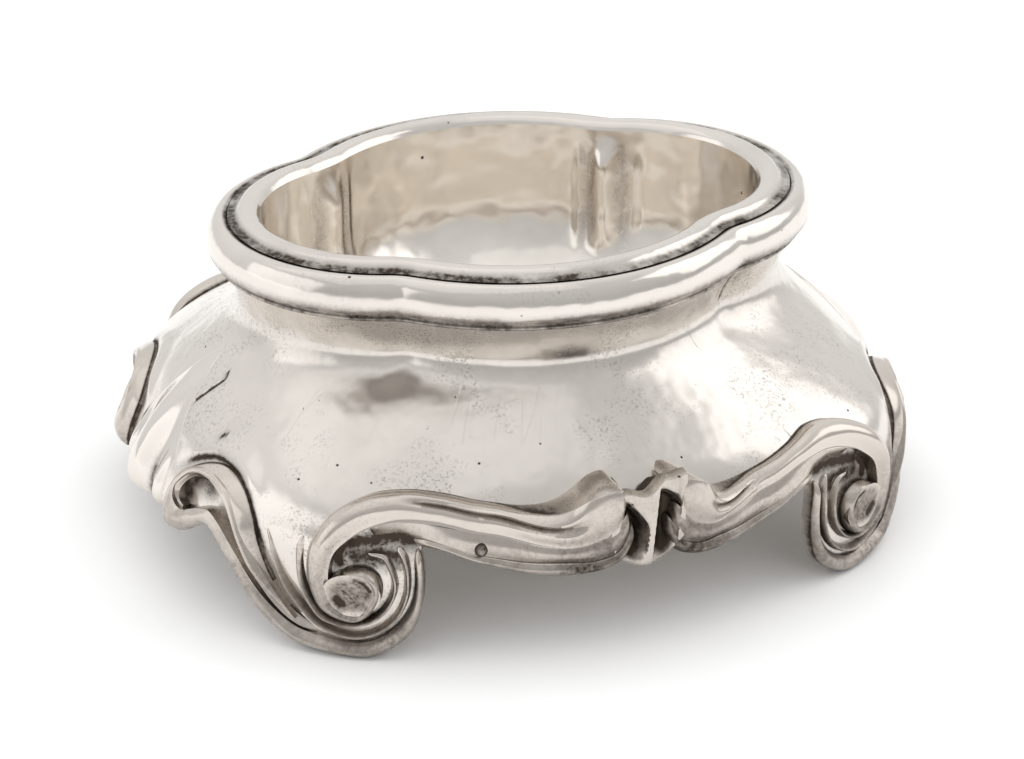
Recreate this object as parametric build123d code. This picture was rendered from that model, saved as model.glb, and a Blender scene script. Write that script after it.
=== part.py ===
from build123d import *
import os
from math import atan2, cos, exp, hypot, pi, radians, sin, sqrt

# Silver trencher salt cellar: a four-lobed bowl in a waisted, spreading body on four scroll feet.
# Millimetres. +X runs along the salt, -Y is the front, +Z is up, and the feet stand on z = 0.

# Rim outline, at the groove under the lip
RIM_HALF_LENGTH = 32.2
RIM_HALF_DEPTH = 25.1
RIM_NOTCH_X = 18.6
RIM_NOTCH_Y = 17.3
RIM_BLEND = 2.6

# Spread outline of the body, at the scroll border
SPREAD_HALF_LENGTH = 41.4
SPREAD_HALF_DEPTH = 36.6
SPREAD_CORNER_X = 34.0
SPREAD_CORNER_Y = 29.3
SPREAD_BLEND = 9.0

# Body: heights, wall and profile
BODY_HEIGHT = 31.8
NECK_DROP = 5.4
NECK_INSET = 1.1
NECK_TOP_PROUD = 0.9
SPREAD_Z = 12.8
FOOT_TUCK = 0.8
FLARE_POWER = 1.3
BODY_WALL = 1.3
FOOT_TONGUE_Z = 2.4

# Collar moulding on the body, under the groove
COLLAR_HEIGHT = 5.0
COLLAR_OVERHANG = 0.3
COLLAR_BULGE = 1.75
COLLAR_TOP_INSET = 0.3
COLLAR_BOWL_GAP = 0.9

# Lip wire on the collar
LIP_HEIGHT = 0.9
LIP_CREST = 0.6

# Bowl
BOWL_DEPTH = 18.6
BOWL_WALL = 0.8
BOWL_BODY_GAP = 0.5
BOWL_ROUND = 9.0

# Long-side scroll, drawn flat: s along the border from the front centre, z up, angles in degrees
CURL_S = 6.4
CURL_Z = 15.8
CURL_R = 2.0
CURL_FROM = 100.0
CURL_TO = 255.0
CURL_LIFT = 1.6
CURL_REACH = 9.0
RUN_S = 15.0
RUN_Z = 15.2
EYE_S = 30.0
EYE_Z = 8.4
VOLUTE_INNER_R = 3.0
VOLUTE_OUTER_R = 10.2
VOLUTE_DECAY = 0.86
VOLUTE_FROM = 116.0
VOLUTE_TO = -250.0

# End scroll, drawn flat: t along the border from the end centre, z up, angles in degrees
HOOK_T = 12.8
HOOK_Z = 13.2
HOOK_R = 3.3
HOOK_FROM = -55.0
HOOK_TO = -280.0
FALL_T = 20.6
FALL_Z = 14.4
TAIL_FROM = -6.0
TAIL_TO = -196.0
HOOK_LIFT = 1.0
HOOK_REACH = 9.0

# Scroll moulding: fillet, round and band side by side on a plinth let into the body
PLINTH = 0.7
LET_IN = 0.6
ROUND_WIDTH = 1.9
FILLET_WIDTH = 1.3
BAND_WIDTH = 3.2
CURL_BAND_WIDTH = 0.9
END_FILLET_WIDTH = 1.2
END_BAND_WIDTH = 2.2
SOLE_BAND_WIDTH = 1.6
EDGE_WIDTH = 0.45
BAND_RISE = 0.35
SECTION_COUNT = 40

# Volute eye
EYE_PROUD = 1.3
EYE_DISH = 0.4

# Clasps between two scrolls
CLASP_LOW_Z = 9.3
CLASP_TOP_Z = 18.6
CLASP_PROUD = 3.6
FRONT_CLASP_WIDTH = 5.0
FRONT_CLASP_RIDGE = 1.4
END_CLASP_WIDTH = 10.0
END_CLASP_RIDGE = 4.0
CLASP_EDGE_PROUD = 1.0

# Casting plug on the front left scroll
PLUG_SHARE = 0.36
PLUG_DIAMETER = 1.5
PLUG_LENGTH = 1.2
PLUG_PROUD = 0.2

# Clearance between neighbouring castings
JOINT_GAP = 0.2

# Sizes that follow
NECK_Z = BODY_HEIGHT - NECK_DROP
LIP_SEAT_Z = BODY_HEIGHT + COLLAR_HEIGHT
RIM_Z = LIP_SEAT_Z + LIP_HEIGHT
FLOOR_Z = RIM_Z - BOWL_DEPTH
LIP_WIDTH = NECK_INSET + BODY_WALL + BOWL_BODY_GAP + BOWL_WALL
COLLAR_INSIDE = LIP_WIDTH - BOWL_WALL - COLLAR_BOWL_GAP
EYE_R = VOLUTE_INNER_R - ROUND_WIDTH / 2 - EDGE_WIDTH - JOINT_GAP
FAR = 4 * SPREAD_HALF_LENGTH


class Lobes:
    """Four-lobed outline: arcs on the long sides and on the ends, blended at the corners."""

    def __init__(self, half_length, half_depth, corner_x, corner_y, blend, offset=0.0):
        front_sag = half_depth - corner_y
        end_sag = half_length - corner_x
        front_r = (corner_x**2 + front_sag**2) / (2 * front_sag)
        end_r = (corner_y**2 + end_sag**2) / (2 * end_sag)
        self.front_c = half_depth - front_r
        self.end_c = half_length - end_r
        self.front_r = front_r + offset
        self.end_r = end_r + offset
        corner = self._corner()
        self.front_turn = atan2(corner[0], -corner[1] - self.front_c) - blend / self.front_r
        self.end_turn = atan2(-corner[1], corner[0] - self.end_c) - blend / self.end_r
        start = self.front(self.front_turn)
        stop = self.end(self.end_turn)
        reach = hypot(stop[0] - start[0], stop[1] - start[1]) / 3
        leave = (start[0] + reach * cos(self.front_turn), start[1] + reach * sin(self.front_turn))
        enter = (stop[0] - reach * sin(self.end_turn), stop[1] - reach * cos(self.end_turn))
        self.blend = [start, leave, enter, stop]
        self.front_length = self.front_r * self.front_turn
        self.end_length = self.end_r * self.end_turn
        chord = [self._blend_point(i / 16) for i in range(17)]
        self.blend_length = sum(hypot(q[0] - p[0], q[1] - p[1]) for p, q in zip(chord, chord[1:]))
        self.quarter = self.front_length + self.blend_length + self.end_length

    def _corner(self):
        """Point where the front and right-hand circles cross, outermost of the two."""
        apart = hypot(self.end_c, self.front_c)
        along = (apart**2 + self.front_r**2 - self.end_r**2) / (2 * apart)
        aside = sqrt(self.front_r**2 - along**2)
        unit = (self.end_c / apart, self.front_c / apart)
        found = []
        for side in (aside, -aside):
            x = along * unit[0] + side * unit[1]
            y = -self.front_c + along * unit[1] - side * unit[0]
            found.append((x, y))
        return max(found, key=lambda p: p[0] - p[1])

    def front(self, turn):
        """Point on the front arc, by angle from -Y."""
        return (self.front_r * sin(turn), -self.front_c - self.front_r * cos(turn))

    def end(self, turn):
        """Point on the right-hand arc, by angle from +X towards -Y."""
        return (self.end_c + self.end_r * cos(turn), -self.end_r * sin(turn))

    def _blend_point(self, t):
        """Point on the front right corner blend."""
        weights = ((1 - t) ** 3, 3 * t * (1 - t) ** 2, 3 * t * t * (1 - t), t**3)
        return tuple(sum(w * p[k] for w, p in zip(weights, self.blend)) for k in (0, 1))

    def at(self, share):
        """Point on the front right quarter, by share of its length from the front centre."""
        s = share * self.quarter
        if s < self.front_length:
            return self.front(s / self.front_r)
        s -= self.front_length
        if s < self.blend_length:
            return self._blend_point(s / self.blend_length)
        return self.end((self.end_length + self.blend_length - s) / self.end_r)

    def wire(self, z):
        """Closed outline at one height."""
        p = self.blend
        right = [Bezier(*[(x, y, z) for x, y in p])]
        right.append(ThreePointArc((*p[3], z), (*self.end(0), z), (p[3][0], -p[3][1], z)))
        right.append(Bezier(*[(x, -y, z) for x, y in reversed(p)]))
        left = [Bezier(*[(-x, -y, z) for x, y in p])]
        x, y = p[3]
        left.append(ThreePointArc((-x, -y, z), (-self.end(0)[0], 0, z), (-x, y, z)))
        left.append(Bezier(*[(-x, y, z) for x, y in reversed(p)]))
        x, y = p[0]
        front = ThreePointArc((-x, y, z), (*self.front(0), z), (x, y, z))
        back = ThreePointArc((x, -y, z), (0, -self.front(0)[1], z), (-x, -y, z))
        return Wire([front, *right, back, *left])


def rim(offset):
    """Rim outline moved outwards by an offset."""
    return Lobes(RIM_HALF_LENGTH, RIM_HALF_DEPTH, RIM_NOTCH_X, RIM_NOTCH_Y, RIM_BLEND, offset)


def flare(z):
    """Share of the spread reached at a height: 0 at the neck, 1 at the border."""
    if z >= NECK_Z:
        return 0.0
    if z >= SPREAD_Z:
        return sin(pi / 2 * (NECK_Z - z) / (NECK_Z - SPREAD_Z)) ** FLARE_POWER
    return 1.0


def body(z, offset=0.0):
    """Body outline at a height, moved outwards by an offset."""
    g = flare(z)
    rise = max(z - NECK_Z, 0) / NECK_DROP
    tuck = FOOT_TUCK * (max(SPREAD_Z - z, 0) / SPREAD_Z) ** 2
    shift = (1 - g) * (-NECK_INSET + (NECK_INSET + NECK_TOP_PROUD) * rise**2) - tuck
    return Lobes(
        RIM_HALF_LENGTH + g * (SPREAD_HALF_LENGTH - RIM_HALF_LENGTH),
        RIM_HALF_DEPTH + g * (SPREAD_HALF_DEPTH - RIM_HALF_DEPTH),
        RIM_NOTCH_X + g * (SPREAD_CORNER_X - RIM_NOTCH_X),
        RIM_NOTCH_Y + g * (SPREAD_CORNER_Y - RIM_NOTCH_Y),
        RIM_BLEND + g * (SPREAD_BLEND - RIM_BLEND),
        shift + offset,
    )


BORDER_LENGTH = body(SPREAD_Z).quarter


def steps(first, last, count):
    """Evenly spaced values from first to last."""
    return [first + (last - first) * i / (count - 1) for i in range(count)]


def ease(value, stops):
    """Smooth value between (place, size) stops in rising order of place."""
    for (low, start), (high, stop) in zip(stops, stops[1:]):
        if value <= high:
            share = max((value - low) / (high - low), 0)
            return start + (stop - start) * (1 - cos(pi * share)) / 2
    return stops[-1][1]


def stack(levels):
    """Smooth solid through outlines, given as (height, outline) pairs."""
    return Solid.make_loft([outline.wire(z) for z, outline in levels])


# Scroll paths on the flat border

def about(centre, radius, angle):
    """Flat point about a centre, by radius and angle in degrees."""
    return (centre[0] + radius * cos(radians(angle)), centre[1] + radius * sin(radians(angle)))


def volute_radius(angle):
    """Radius of the volute about its eye at an angle in degrees, shrinking as it turns."""
    turned = radians(VOLUTE_FROM - angle)
    return VOLUTE_INNER_R + (VOLUTE_OUTER_R - VOLUTE_INNER_R) * exp(-VOLUTE_DECAY * turned)


def side_path():
    """Round of the long-side scroll: curl by the clasp, run, then volute about the eye."""
    curl = [about((CURL_S, CURL_Z), CURL_R, a) for a in steps(CURL_FROM, CURL_TO, 6)]
    volute = [about((EYE_S, EYE_Z), volute_radius(a), a) for a in steps(VOLUTE_FROM, VOLUTE_TO, 14)]
    return Spline(*curl, (RUN_S, RUN_Z), *volute)


def end_path():
    """Round of the end scroll: hook by the end clasp, arch, fall, then sole under the volute."""
    centre = (BORDER_LENGTH - HOOK_T, HOOK_Z)
    hook = [about(centre, HOOK_R, 180 - a) for a in steps(HOOK_FROM, HOOK_TO, 6)]
    apart = ROUND_WIDTH + 2 * EDGE_WIDTH + JOINT_GAP
    sole = [about((EYE_S, EYE_Z), volute_radius(a) + apart, a) for a in steps(TAIL_FROM, TAIL_TO, 8)]
    return Spline(*hook, (BORDER_LENGTH - FALL_T, FALL_Z), *sole)


SIDE_PATH = side_path()
END_PATH = end_path()
CURL_SHARE = CURL_R * radians(CURL_TO - CURL_FROM) / SIDE_PATH.length
ARCH_SHARE = CURL_SHARE + (EYE_S - CURL_S - VOLUTE_OUTER_R / 2) / SIDE_PATH.length
HOOK_SHARE = HOOK_R * radians(HOOK_FROM - HOOK_TO) / END_PATH.length
SOLE_SHARE = HOOK_SHARE + (BORDER_LENGTH - HOOK_T - EYE_S - VOLUTE_OUTER_R / 2) / END_PATH.length


def side_widths(share):
    """Fillet, round and band widths along the long-side scroll."""
    fillet = ease(share, [
        (CURL_SHARE * 0.7, EDGE_WIDTH),
        (CURL_SHARE * 1.6, FILLET_WIDTH),
        (ARCH_SHARE * 0.8, FILLET_WIDTH),
        (ARCH_SHARE * 1.3, EDGE_WIDTH),
    ])
    band = ease(share, [
        (0, EDGE_WIDTH),
        (CURL_SHARE * 0.6, CURL_BAND_WIDTH),
        (CURL_SHARE * 1.5, BAND_WIDTH),
        (ARCH_SHARE * 0.7, BAND_WIDTH),
        (ARCH_SHARE * 1.35, EDGE_WIDTH),
    ])
    return fillet, ROUND_WIDTH, band


def end_widths(share):
    """Fillet, round and band widths along the end scroll."""
    fillet = ease(share, [
        (0, EDGE_WIDTH),
        (HOOK_SHARE * 0.5, END_FILLET_WIDTH),
        (HOOK_SHARE * 1.4, END_FILLET_WIDTH),
        (SOLE_SHARE, EDGE_WIDTH),
    ])
    band = ease(share, [
        (HOOK_SHARE * 0.9, EDGE_WIDTH),
        (HOOK_SHARE * 1.8, END_BAND_WIDTH),
        (SOLE_SHARE, END_BAND_WIDTH),
        (1, SOLE_BAND_WIDTH),
    ])
    return fillet, ROUND_WIDTH, band


def on_body(s, z):
    """Point on the body by length along the border from the front centre and height."""
    return Vector(*body(z).at(s / BORDER_LENGTH), z)


def on_border(s, z):
    """Point on the face that the scrolls lie on: the body, drawn out upright beside the clasps."""
    share = s / BORDER_LENGTH
    near_front = ease(s, [(CURL_S, 1), (CURL_S + CURL_REACH, 0)])
    near_end = ease(BORDER_LENGTH - s, [(HOOK_T, 1), (HOOK_T + HOOK_REACH, 0)])
    point = on_body(s, z)
    point += (Vector(*body(SPREAD_Z, CURL_LIFT).at(share), z) - point) * near_front
    point += (Vector(*body(SPREAD_Z, HOOK_LIFT).at(share), z) - point) * near_end
    return point


def outward(s, z):
    """Direction straight out of the border."""
    step = 0.02
    level = on_border(s + step, z) - on_border(s - step, z)
    upright = on_border(s, z + step) - on_border(s, z - step)
    return level.cross(upright).normalized()


def beside(path, share, distance):
    """Flat point at a distance to the left of a path."""
    here = path @ share
    along = path % share
    return (here.X - distance * along.Y, here.Y + distance * along.X)


def moulding(plane, fillet, round_width, band, depth, side):
    """Section of a scroll: fillet, round and band on a plinth; side 1 puts the fillet on the left."""
    half = round_width / 2
    stops = [half + fillet, half, -half, -half - band]
    rises = [min(BAND_RISE, fillet / 2), half, min(BAND_RISE, band / 2)]
    crest = [(side * p, PLINTH) for p in stops]
    edges = []
    for start, stop, rise in zip(crest, crest[1:], rises):
        crown = ((start[0] + stop[0]) / 2, PLINTH + rise)
        edges.append(ThreePointArc(start, crown, stop))
    low = (crest[3][0], -depth)
    high = (crest[0][0], -depth)
    edges.append(Line(crest[3], low))
    edges.append(Line(low, high))
    edges.append(Line(high, crest[0]))
    return Wire([plane.from_local_coords(edge) for edge in edges])


def scroll(path, widths, side):
    """Scroll lofted along a flat path wrapped on the border and let into the body behind it."""
    step = 0.005
    sections = []
    for share in steps(0, 1, SECTION_COUNT):
        here = path @ share
        ahead = path @ min(share + step, 1)
        behind = path @ max(share - step, 0)
        along = (on_border(ahead.X, ahead.Y) - on_border(behind.X, behind.Y)).normalized()
        across = outward(here.X, here.Y).cross(along).normalized()
        origin = on_border(here.X, here.Y)
        depth = LET_IN + (origin - on_body(here.X, here.Y)).length
        plane = Plane(origin, x_dir=across, z_dir=along)
        sections.append(moulding(plane, *widths(share), depth, side))
    return Solid.make_loft(sections)


# Pieces

def make_bowl():
    """Bowl: upright lobed wall rounding into a flat floor."""
    def sheet(grow, floor, top):
        levels = []
        for share in (0, 0.07, 0.25, 0.55, 1):
            height = share * BOWL_ROUND
            inset = BOWL_ROUND - sqrt(BOWL_ROUND**2 - (BOWL_ROUND - height) ** 2)
            levels.append((floor + height, rim(grow - LIP_WIDTH - inset)))
        levels.append((top, rim(grow - LIP_WIDTH)))
        return stack(levels)

    outside = sheet(BOWL_WALL, FLOOR_Z - BOWL_WALL, LIP_SEAT_Z)
    return outside - sheet(0, FLOOR_Z, LIP_SEAT_Z + BOWL_WALL)


def make_lip():
    """Rounded wire round the mouth, seated on the bowl's edge and the collar."""
    half = (LIP_WIDTH - LIP_CREST) / 2

    def level(share, outer):
        slope = half * (1 - share**2)
        middle = -LIP_WIDTH / 2
        offset = middle + LIP_CREST / 2 + slope if outer else middle - LIP_CREST / 2 - slope
        return (LIP_SEAT_Z + share * LIP_HEIGHT, rim(offset))

    outside = stack([level(share, True) for share in (0, 0.35, 0.7, 1)])
    return outside - stack([level(share, False) for share in (-0.35, 0, 0.35, 0.7, 1, 1.2)])


def make_collar():
    """Swelling moulding between body and lip, as one ring."""
    foot = NECK_TOP_PROUD + COLLAR_OVERHANG
    levels = []
    for share in steps(0, 1, 6):
        offset = foot - (foot + COLLAR_TOP_INSET) * share + COLLAR_BULGE * sin(pi * share)
        levels.append((BODY_HEIGHT + share * COLLAR_HEIGHT, rim(offset)))
    hole = stack([(BODY_HEIGHT - 1, rim(-COLLAR_INSIDE)), (LIP_SEAT_Z + 1, rim(-COLLAR_INSIDE))])
    return stack(levels) - hole


def mitre(collar):
    """Front and right lengths of the collar, cut through the notches."""
    notch = rim(0)
    turn_front = notch.front_turn
    turn_end = notch.end_turn
    lean = atan2(cos(turn_front) + sin(turn_end), sin(turn_front) + cos(turn_end))
    x, y = notch.at((notch.front_length + notch.blend_length / 2) / notch.quarter)
    inner = (x - cos(lean) * x, y + sin(lean) * x)
    outer = (x + cos(lean) * FAR, y - sin(lean) * FAR)
    corners = [inner, outer, (-outer[0], outer[1]), (-inner[0], inner[1])]
    wedge = extrude(make_face(Polyline(*corners, close=True)), amount=FAR)
    front = collar & wedge
    back = front.mirror(Plane.XZ)
    right = (collar - wedge - wedge.mirror(Plane.XZ)) & Pos(FAR / 2, 0, 0) * Box(FAR, FAR, FAR)
    return front, back, right


def make_clasp(face, width, ridge):
    """Clasp on the front centre line: a ridge between two flutes, rounded below.

    face gives the body's distance out at a height.
    """
    sections = []
    for share in steps(0, 1, 5):
        z = CLASP_LOW_Z + share * (CLASP_TOP_Z - CLASP_LOW_Z)
        swell = sqrt(1 - (1 - min(share / 0.4, 1)) ** 2 * 0.75)
        half = width / 2 * swell
        crest = ridge / 2 * swell
        back = -(face(z) - LET_IN)
        edge = -(face(SPREAD_Z) + CLASP_EDGE_PROUD)
        crown = -(face(SPREAD_Z) + CLASP_PROUD * swell)
        spring = crown + crest * 0.5
        flute = ((half + crest) / 2 - (half - crest) * 0.12, edge + (spring - edge) * 0.3)
        edges = [
            Line((-half, back, z), (-half, edge, z)),
            ThreePointArc((-half, edge, z), (-flute[0], flute[1], z), (-crest, spring, z)),
            ThreePointArc((-crest, spring, z), (0, crown, z), (crest, spring, z)),
            ThreePointArc((crest, spring, z), (flute[0], flute[1], z), (half, edge, z)),
            Line((half, edge, z), (half, back, z)),
            Line((half, back, z), (-half, back, z)),
        ]
        sections.append(Wire(edges))
    return Solid.make_loft(sections)


def make_eye():
    """Dished button in the volute."""
    plane = Plane(on_border(EYE_S, EYE_Z), z_dir=outward(EYE_S, EYE_Z))
    button = Pos(0, 0, (EYE_PROUD - LET_IN) / 2) * Cylinder(EYE_R, EYE_PROUD + LET_IN)
    ball = (EYE_R**2 + EYE_DISH**2) / (2 * EYE_DISH)
    dish = Pos(0, 0, EYE_PROUD - EYE_DISH + ball) * Sphere(ball)
    return plane.location * (button - dish)


def make_plug():
    """Small round pin in the band of the long-side scroll."""
    _, round_width, band = side_widths(PLUG_SHARE)
    s, z = beside(SIDE_PATH, PLUG_SHARE, -(round_width + band) / 2)
    plane = Plane(on_border(s, z), z_dir=outward(s, z))
    top = PLINTH + BAND_RISE + PLUG_PROUD
    return plane.location * (Pos(0, 0, top - PLUG_LENGTH / 2) * Cylinder(PLUG_DIAMETER / 2, PLUG_LENGTH))


def make_body_quarter(cuts):
    """Front right quarter of the body shell, trimmed behind the scrolls and let out for them."""
    spread = [-1, SPREAD_Z / 3, SPREAD_Z * 0.75, SPREAD_Z]
    ogee = steps(SPREAD_Z, NECK_Z, 7)[1:]
    heights = [*spread, *ogee, NECK_Z + NECK_DROP / 2, BODY_HEIGHT]
    outside = stack([(z, body(z)) for z in heights])
    heights[0] -= 1
    heights[-1] += 1
    inside = stack([(z, body(z, -BODY_WALL)) for z in heights])
    quarter = Pos(FAR / 2, -FAR / 2, FAR / 2 + FOOT_TONGUE_Z) * Box(FAR, FAR, FAR)
    shell = (outside & quarter) - inside
    for cut in cuts:
        shell = shell - cut
    return shell


def apron_cuts():
    """Openings under the apron, along the middle of each scroll's band."""
    floor = -SPREAD_Z
    side = []
    for share in steps(CURL_SHARE * 1.6, ARCH_SHARE, 5):
        side.append(on_body(*beside(SIDE_PATH, share, -(ROUND_WIDTH + side_widths(share)[2]) / 2)))
    foot = on_body(*beside(END_PATH, 1, 0))
    front_edge = [(p.X, p.Z) for p in side]
    end = []
    for share in steps(HOOK_SHARE * 1.6, SOLE_SHARE, 4):
        end.append(on_body(*beside(END_PATH, share, (ROUND_WIDTH + end_widths(share)[2]) / 2)))
    hook = (-HOOK_T, HOOK_Z - HOOK_R)
    end_edge = [hook, *[(p.Y, p.Z) for p in end]]
    openings = (
        (Plane.XZ, front_edge, [(foot.X, foot.Z), (foot.X, floor)]),
        (Plane.YZ, end_edge, [(end[-1].Y, floor)]),
    )
    cuts = []
    for plane, edge, foot_side in openings:
        below = Polyline(edge[-1], *foot_side, (0, floor), (0, edge[0][1]), edge[0])
        opening = make_face([*Spline(*edge).edges(), *below.edges()])
        cuts.append(extrude(plane * opening, amount=FAR))
    return cuts


def build():
    """All pieces by name, in place."""
    side = scroll(SIDE_PATH, side_widths, 1)
    below = Pos(0, 0, -FAR / 2) * Box(FAR, FAR, FAR)
    end = scroll(END_PATH, end_widths, -1) - below
    eye = make_eye()
    clasp_front = make_clasp(lambda z: -body(z).at(0)[1], FRONT_CLASP_WIDTH, FRONT_CLASP_RIDGE)
    clasp_right = make_clasp(lambda z: body(z).at(1)[0], END_CLASP_WIDTH, END_CLASP_RIDGE)
    clasp_right = Rot(0, 0, 90) * clasp_right
    clasp_front = clasp_front - side - side.mirror(Plane.YZ)
    clasp_right = clasp_right - end - end.mirror(Plane.XZ)
    quarter = make_body_quarter([*apron_cuts(), side, end, eye, clasp_front, clasp_right])
    body_front = quarter + quarter.mirror(Plane.YZ)
    collar_front, collar_back, collar_right = mitre(make_collar())
    plug = make_plug().mirror(Plane.YZ)

    pieces = {
        "bowl": make_bowl(),
        "lip_ring": make_lip(),
        "collar_front": collar_front,
        "collar_back": collar_back,
        "collar_right": collar_right,
        "collar_left": collar_right.mirror(Plane.YZ),
        "body_front": body_front,
        "body_back": body_front.mirror(Plane.XZ),
        "clasp_front": clasp_front,
        "clasp_back": clasp_front.mirror(Plane.XZ),
        "clasp_right": clasp_right,
        "clasp_left": clasp_right.mirror(Plane.YZ),
        "casting_plug": plug,
    }
    for depth in ("front", "back"):
        for hand in ("right", "left"):
            for name, piece in ((f"scroll_{depth}_{hand}", side), (f"end_scroll_{hand}_{depth}", end),
                                (f"eye_{depth}_{hand}", eye)):
                if depth == "back":
                    piece = piece.mirror(Plane.XZ)
                if hand == "left":
                    piece = piece.mirror(Plane.YZ)
                pieces[name] = piece
    pieces["scroll_front_left"] = pieces["scroll_front_left"] - plug
    return pieces


def main():
    """Write one file for each piece."""
    os.makedirs("parts", exist_ok=True)
    for name, piece in build().items():
        piece.label = name
        export_step(piece, f"parts/{name}.step")
        box = piece.bounding_box()
        count = len(piece.solids())
        print(f"{name}: {count} solid, {piece.volume:.1f} mm3, z {box.min.Z:.2f} to {box.max.Z:.2f}")


if __name__ == "__main__":
    main()
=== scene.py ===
"""Silver trencher salt cellar: the dressed model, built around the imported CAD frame.

Sizes are in millimetres and follow the part's own values; meshes are written in metres.
+X runs along the salt, -Y is the front and the feet stand on z = 0.
"""
import logging
import math
from dataclasses import dataclass, replace
from enum import Enum
from functools import cached_property
from typing import Optional, Sequence

import bmesh
import bpy
import numpy as np
from mathutils import Matrix, Vector

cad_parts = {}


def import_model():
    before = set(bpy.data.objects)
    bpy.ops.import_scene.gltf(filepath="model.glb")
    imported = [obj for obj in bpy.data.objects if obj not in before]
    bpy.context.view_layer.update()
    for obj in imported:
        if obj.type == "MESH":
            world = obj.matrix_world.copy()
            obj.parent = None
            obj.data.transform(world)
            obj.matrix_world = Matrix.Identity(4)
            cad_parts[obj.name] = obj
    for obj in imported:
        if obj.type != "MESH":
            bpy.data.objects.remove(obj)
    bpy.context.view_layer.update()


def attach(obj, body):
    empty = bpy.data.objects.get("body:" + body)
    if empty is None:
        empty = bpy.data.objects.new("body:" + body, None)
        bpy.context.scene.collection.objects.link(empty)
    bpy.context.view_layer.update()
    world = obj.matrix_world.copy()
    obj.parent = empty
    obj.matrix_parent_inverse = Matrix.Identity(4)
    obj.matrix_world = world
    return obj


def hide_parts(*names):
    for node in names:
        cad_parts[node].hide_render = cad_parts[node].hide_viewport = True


MM = 0.001
WELD_M = 1e-7
SHARP_DEG = 50
LOG = logging.getLogger("salt")

Flat = tuple[float, float]
Knot = tuple[float, float, float]


# Numbers and curves


def ease(value: np.ndarray, start: float, stop: float) -> np.ndarray:
    """Half-cosine step from 0 at start to 1 at stop."""
    share = np.clip((np.asarray(value, float) - start) / (stop - start), 0.0, 1.0)
    return (1.0 - np.cos(np.pi * share)) / 2.0


def bell(value: np.ndarray, centre: float, width: np.ndarray) -> np.ndarray:
    """Bell curve, 1 at its centre."""
    return np.exp(-(((value - centre) / width) ** 2))


def smooth(knots: Sequence[Sequence[float]], count: int) -> np.ndarray:
    """Smooth curve through knots, spaced by knot.

    Args:
        knots: Points of any width, in order.
        count: Number of points wanted.

    Returns:
        Array of count rows, on a cubic through the knots.
    """
    points = np.asarray(knots, float)
    gaps = np.linalg.norm(np.diff(points[:, :2], axis=0), axis=1)
    places = np.concatenate([[0.0], np.cumsum(np.maximum(gaps, 1e-6) ** 0.5)])
    slopes = np.gradient(points, places, axis=0)
    wanted = np.linspace(0.0, places[-1], count)
    index = np.clip(np.searchsorted(places, wanted, side="right") - 1, 0, len(points) - 2)
    span = (places[index + 1] - places[index])[:, None]
    t = ((wanted - places[index]) / span[:, 0])[:, None]
    low, high = points[index], points[index + 1]
    return (
        low * (1 + 2 * t) * (1 - t) ** 2
        + slopes[index] * span * t * (1 - t) ** 2
        + high * t * t * (3 - 2 * t)
        + slopes[index + 1] * span * t * t * (t - 1)
    )


def beside(s: np.ndarray, z: np.ndarray, line: Sequence[Flat]) -> tuple[np.ndarray, np.ndarray, np.ndarray]:
    """How flat points lie to a line.

    Args:
        s: Places along the border.
        z: Heights.
        line: Points of the line.

    Returns:
        Distance to the line, 1 on its left or -1 on its right, and the share of its length that is nearest.
    """
    knots = smooth(line, 12 * len(line))
    offset = np.stack([s, z], axis=-1)[..., None, :] - knots
    gap = np.hypot(offset[..., 0], offset[..., 1])
    index = gap.argmin(axis=-1)
    way = np.gradient(knots, axis=0)[index]
    near = np.take_along_axis(offset, index[..., None, None], axis=-2)[..., 0, :]
    side = np.sign(way[..., 0] * near[..., 1] - way[..., 1] * near[..., 0])
    return gap.min(axis=-1), side, index / (len(knots) - 1)


# The salt's own form


@dataclass(frozen=True)
class Outline:
    """Four-lobed outline: arcs on the long sides and on the ends, blended at the corners."""

    half_length: float
    half_depth: float
    corner_x: float
    corner_y: float
    blend: float

    def sizes(self) -> np.ndarray:
        """The five sizes as an array, so that two outlines can be mixed."""
        return np.array([self.half_length, self.half_depth, self.corner_x, self.corner_y, self.blend])


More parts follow.
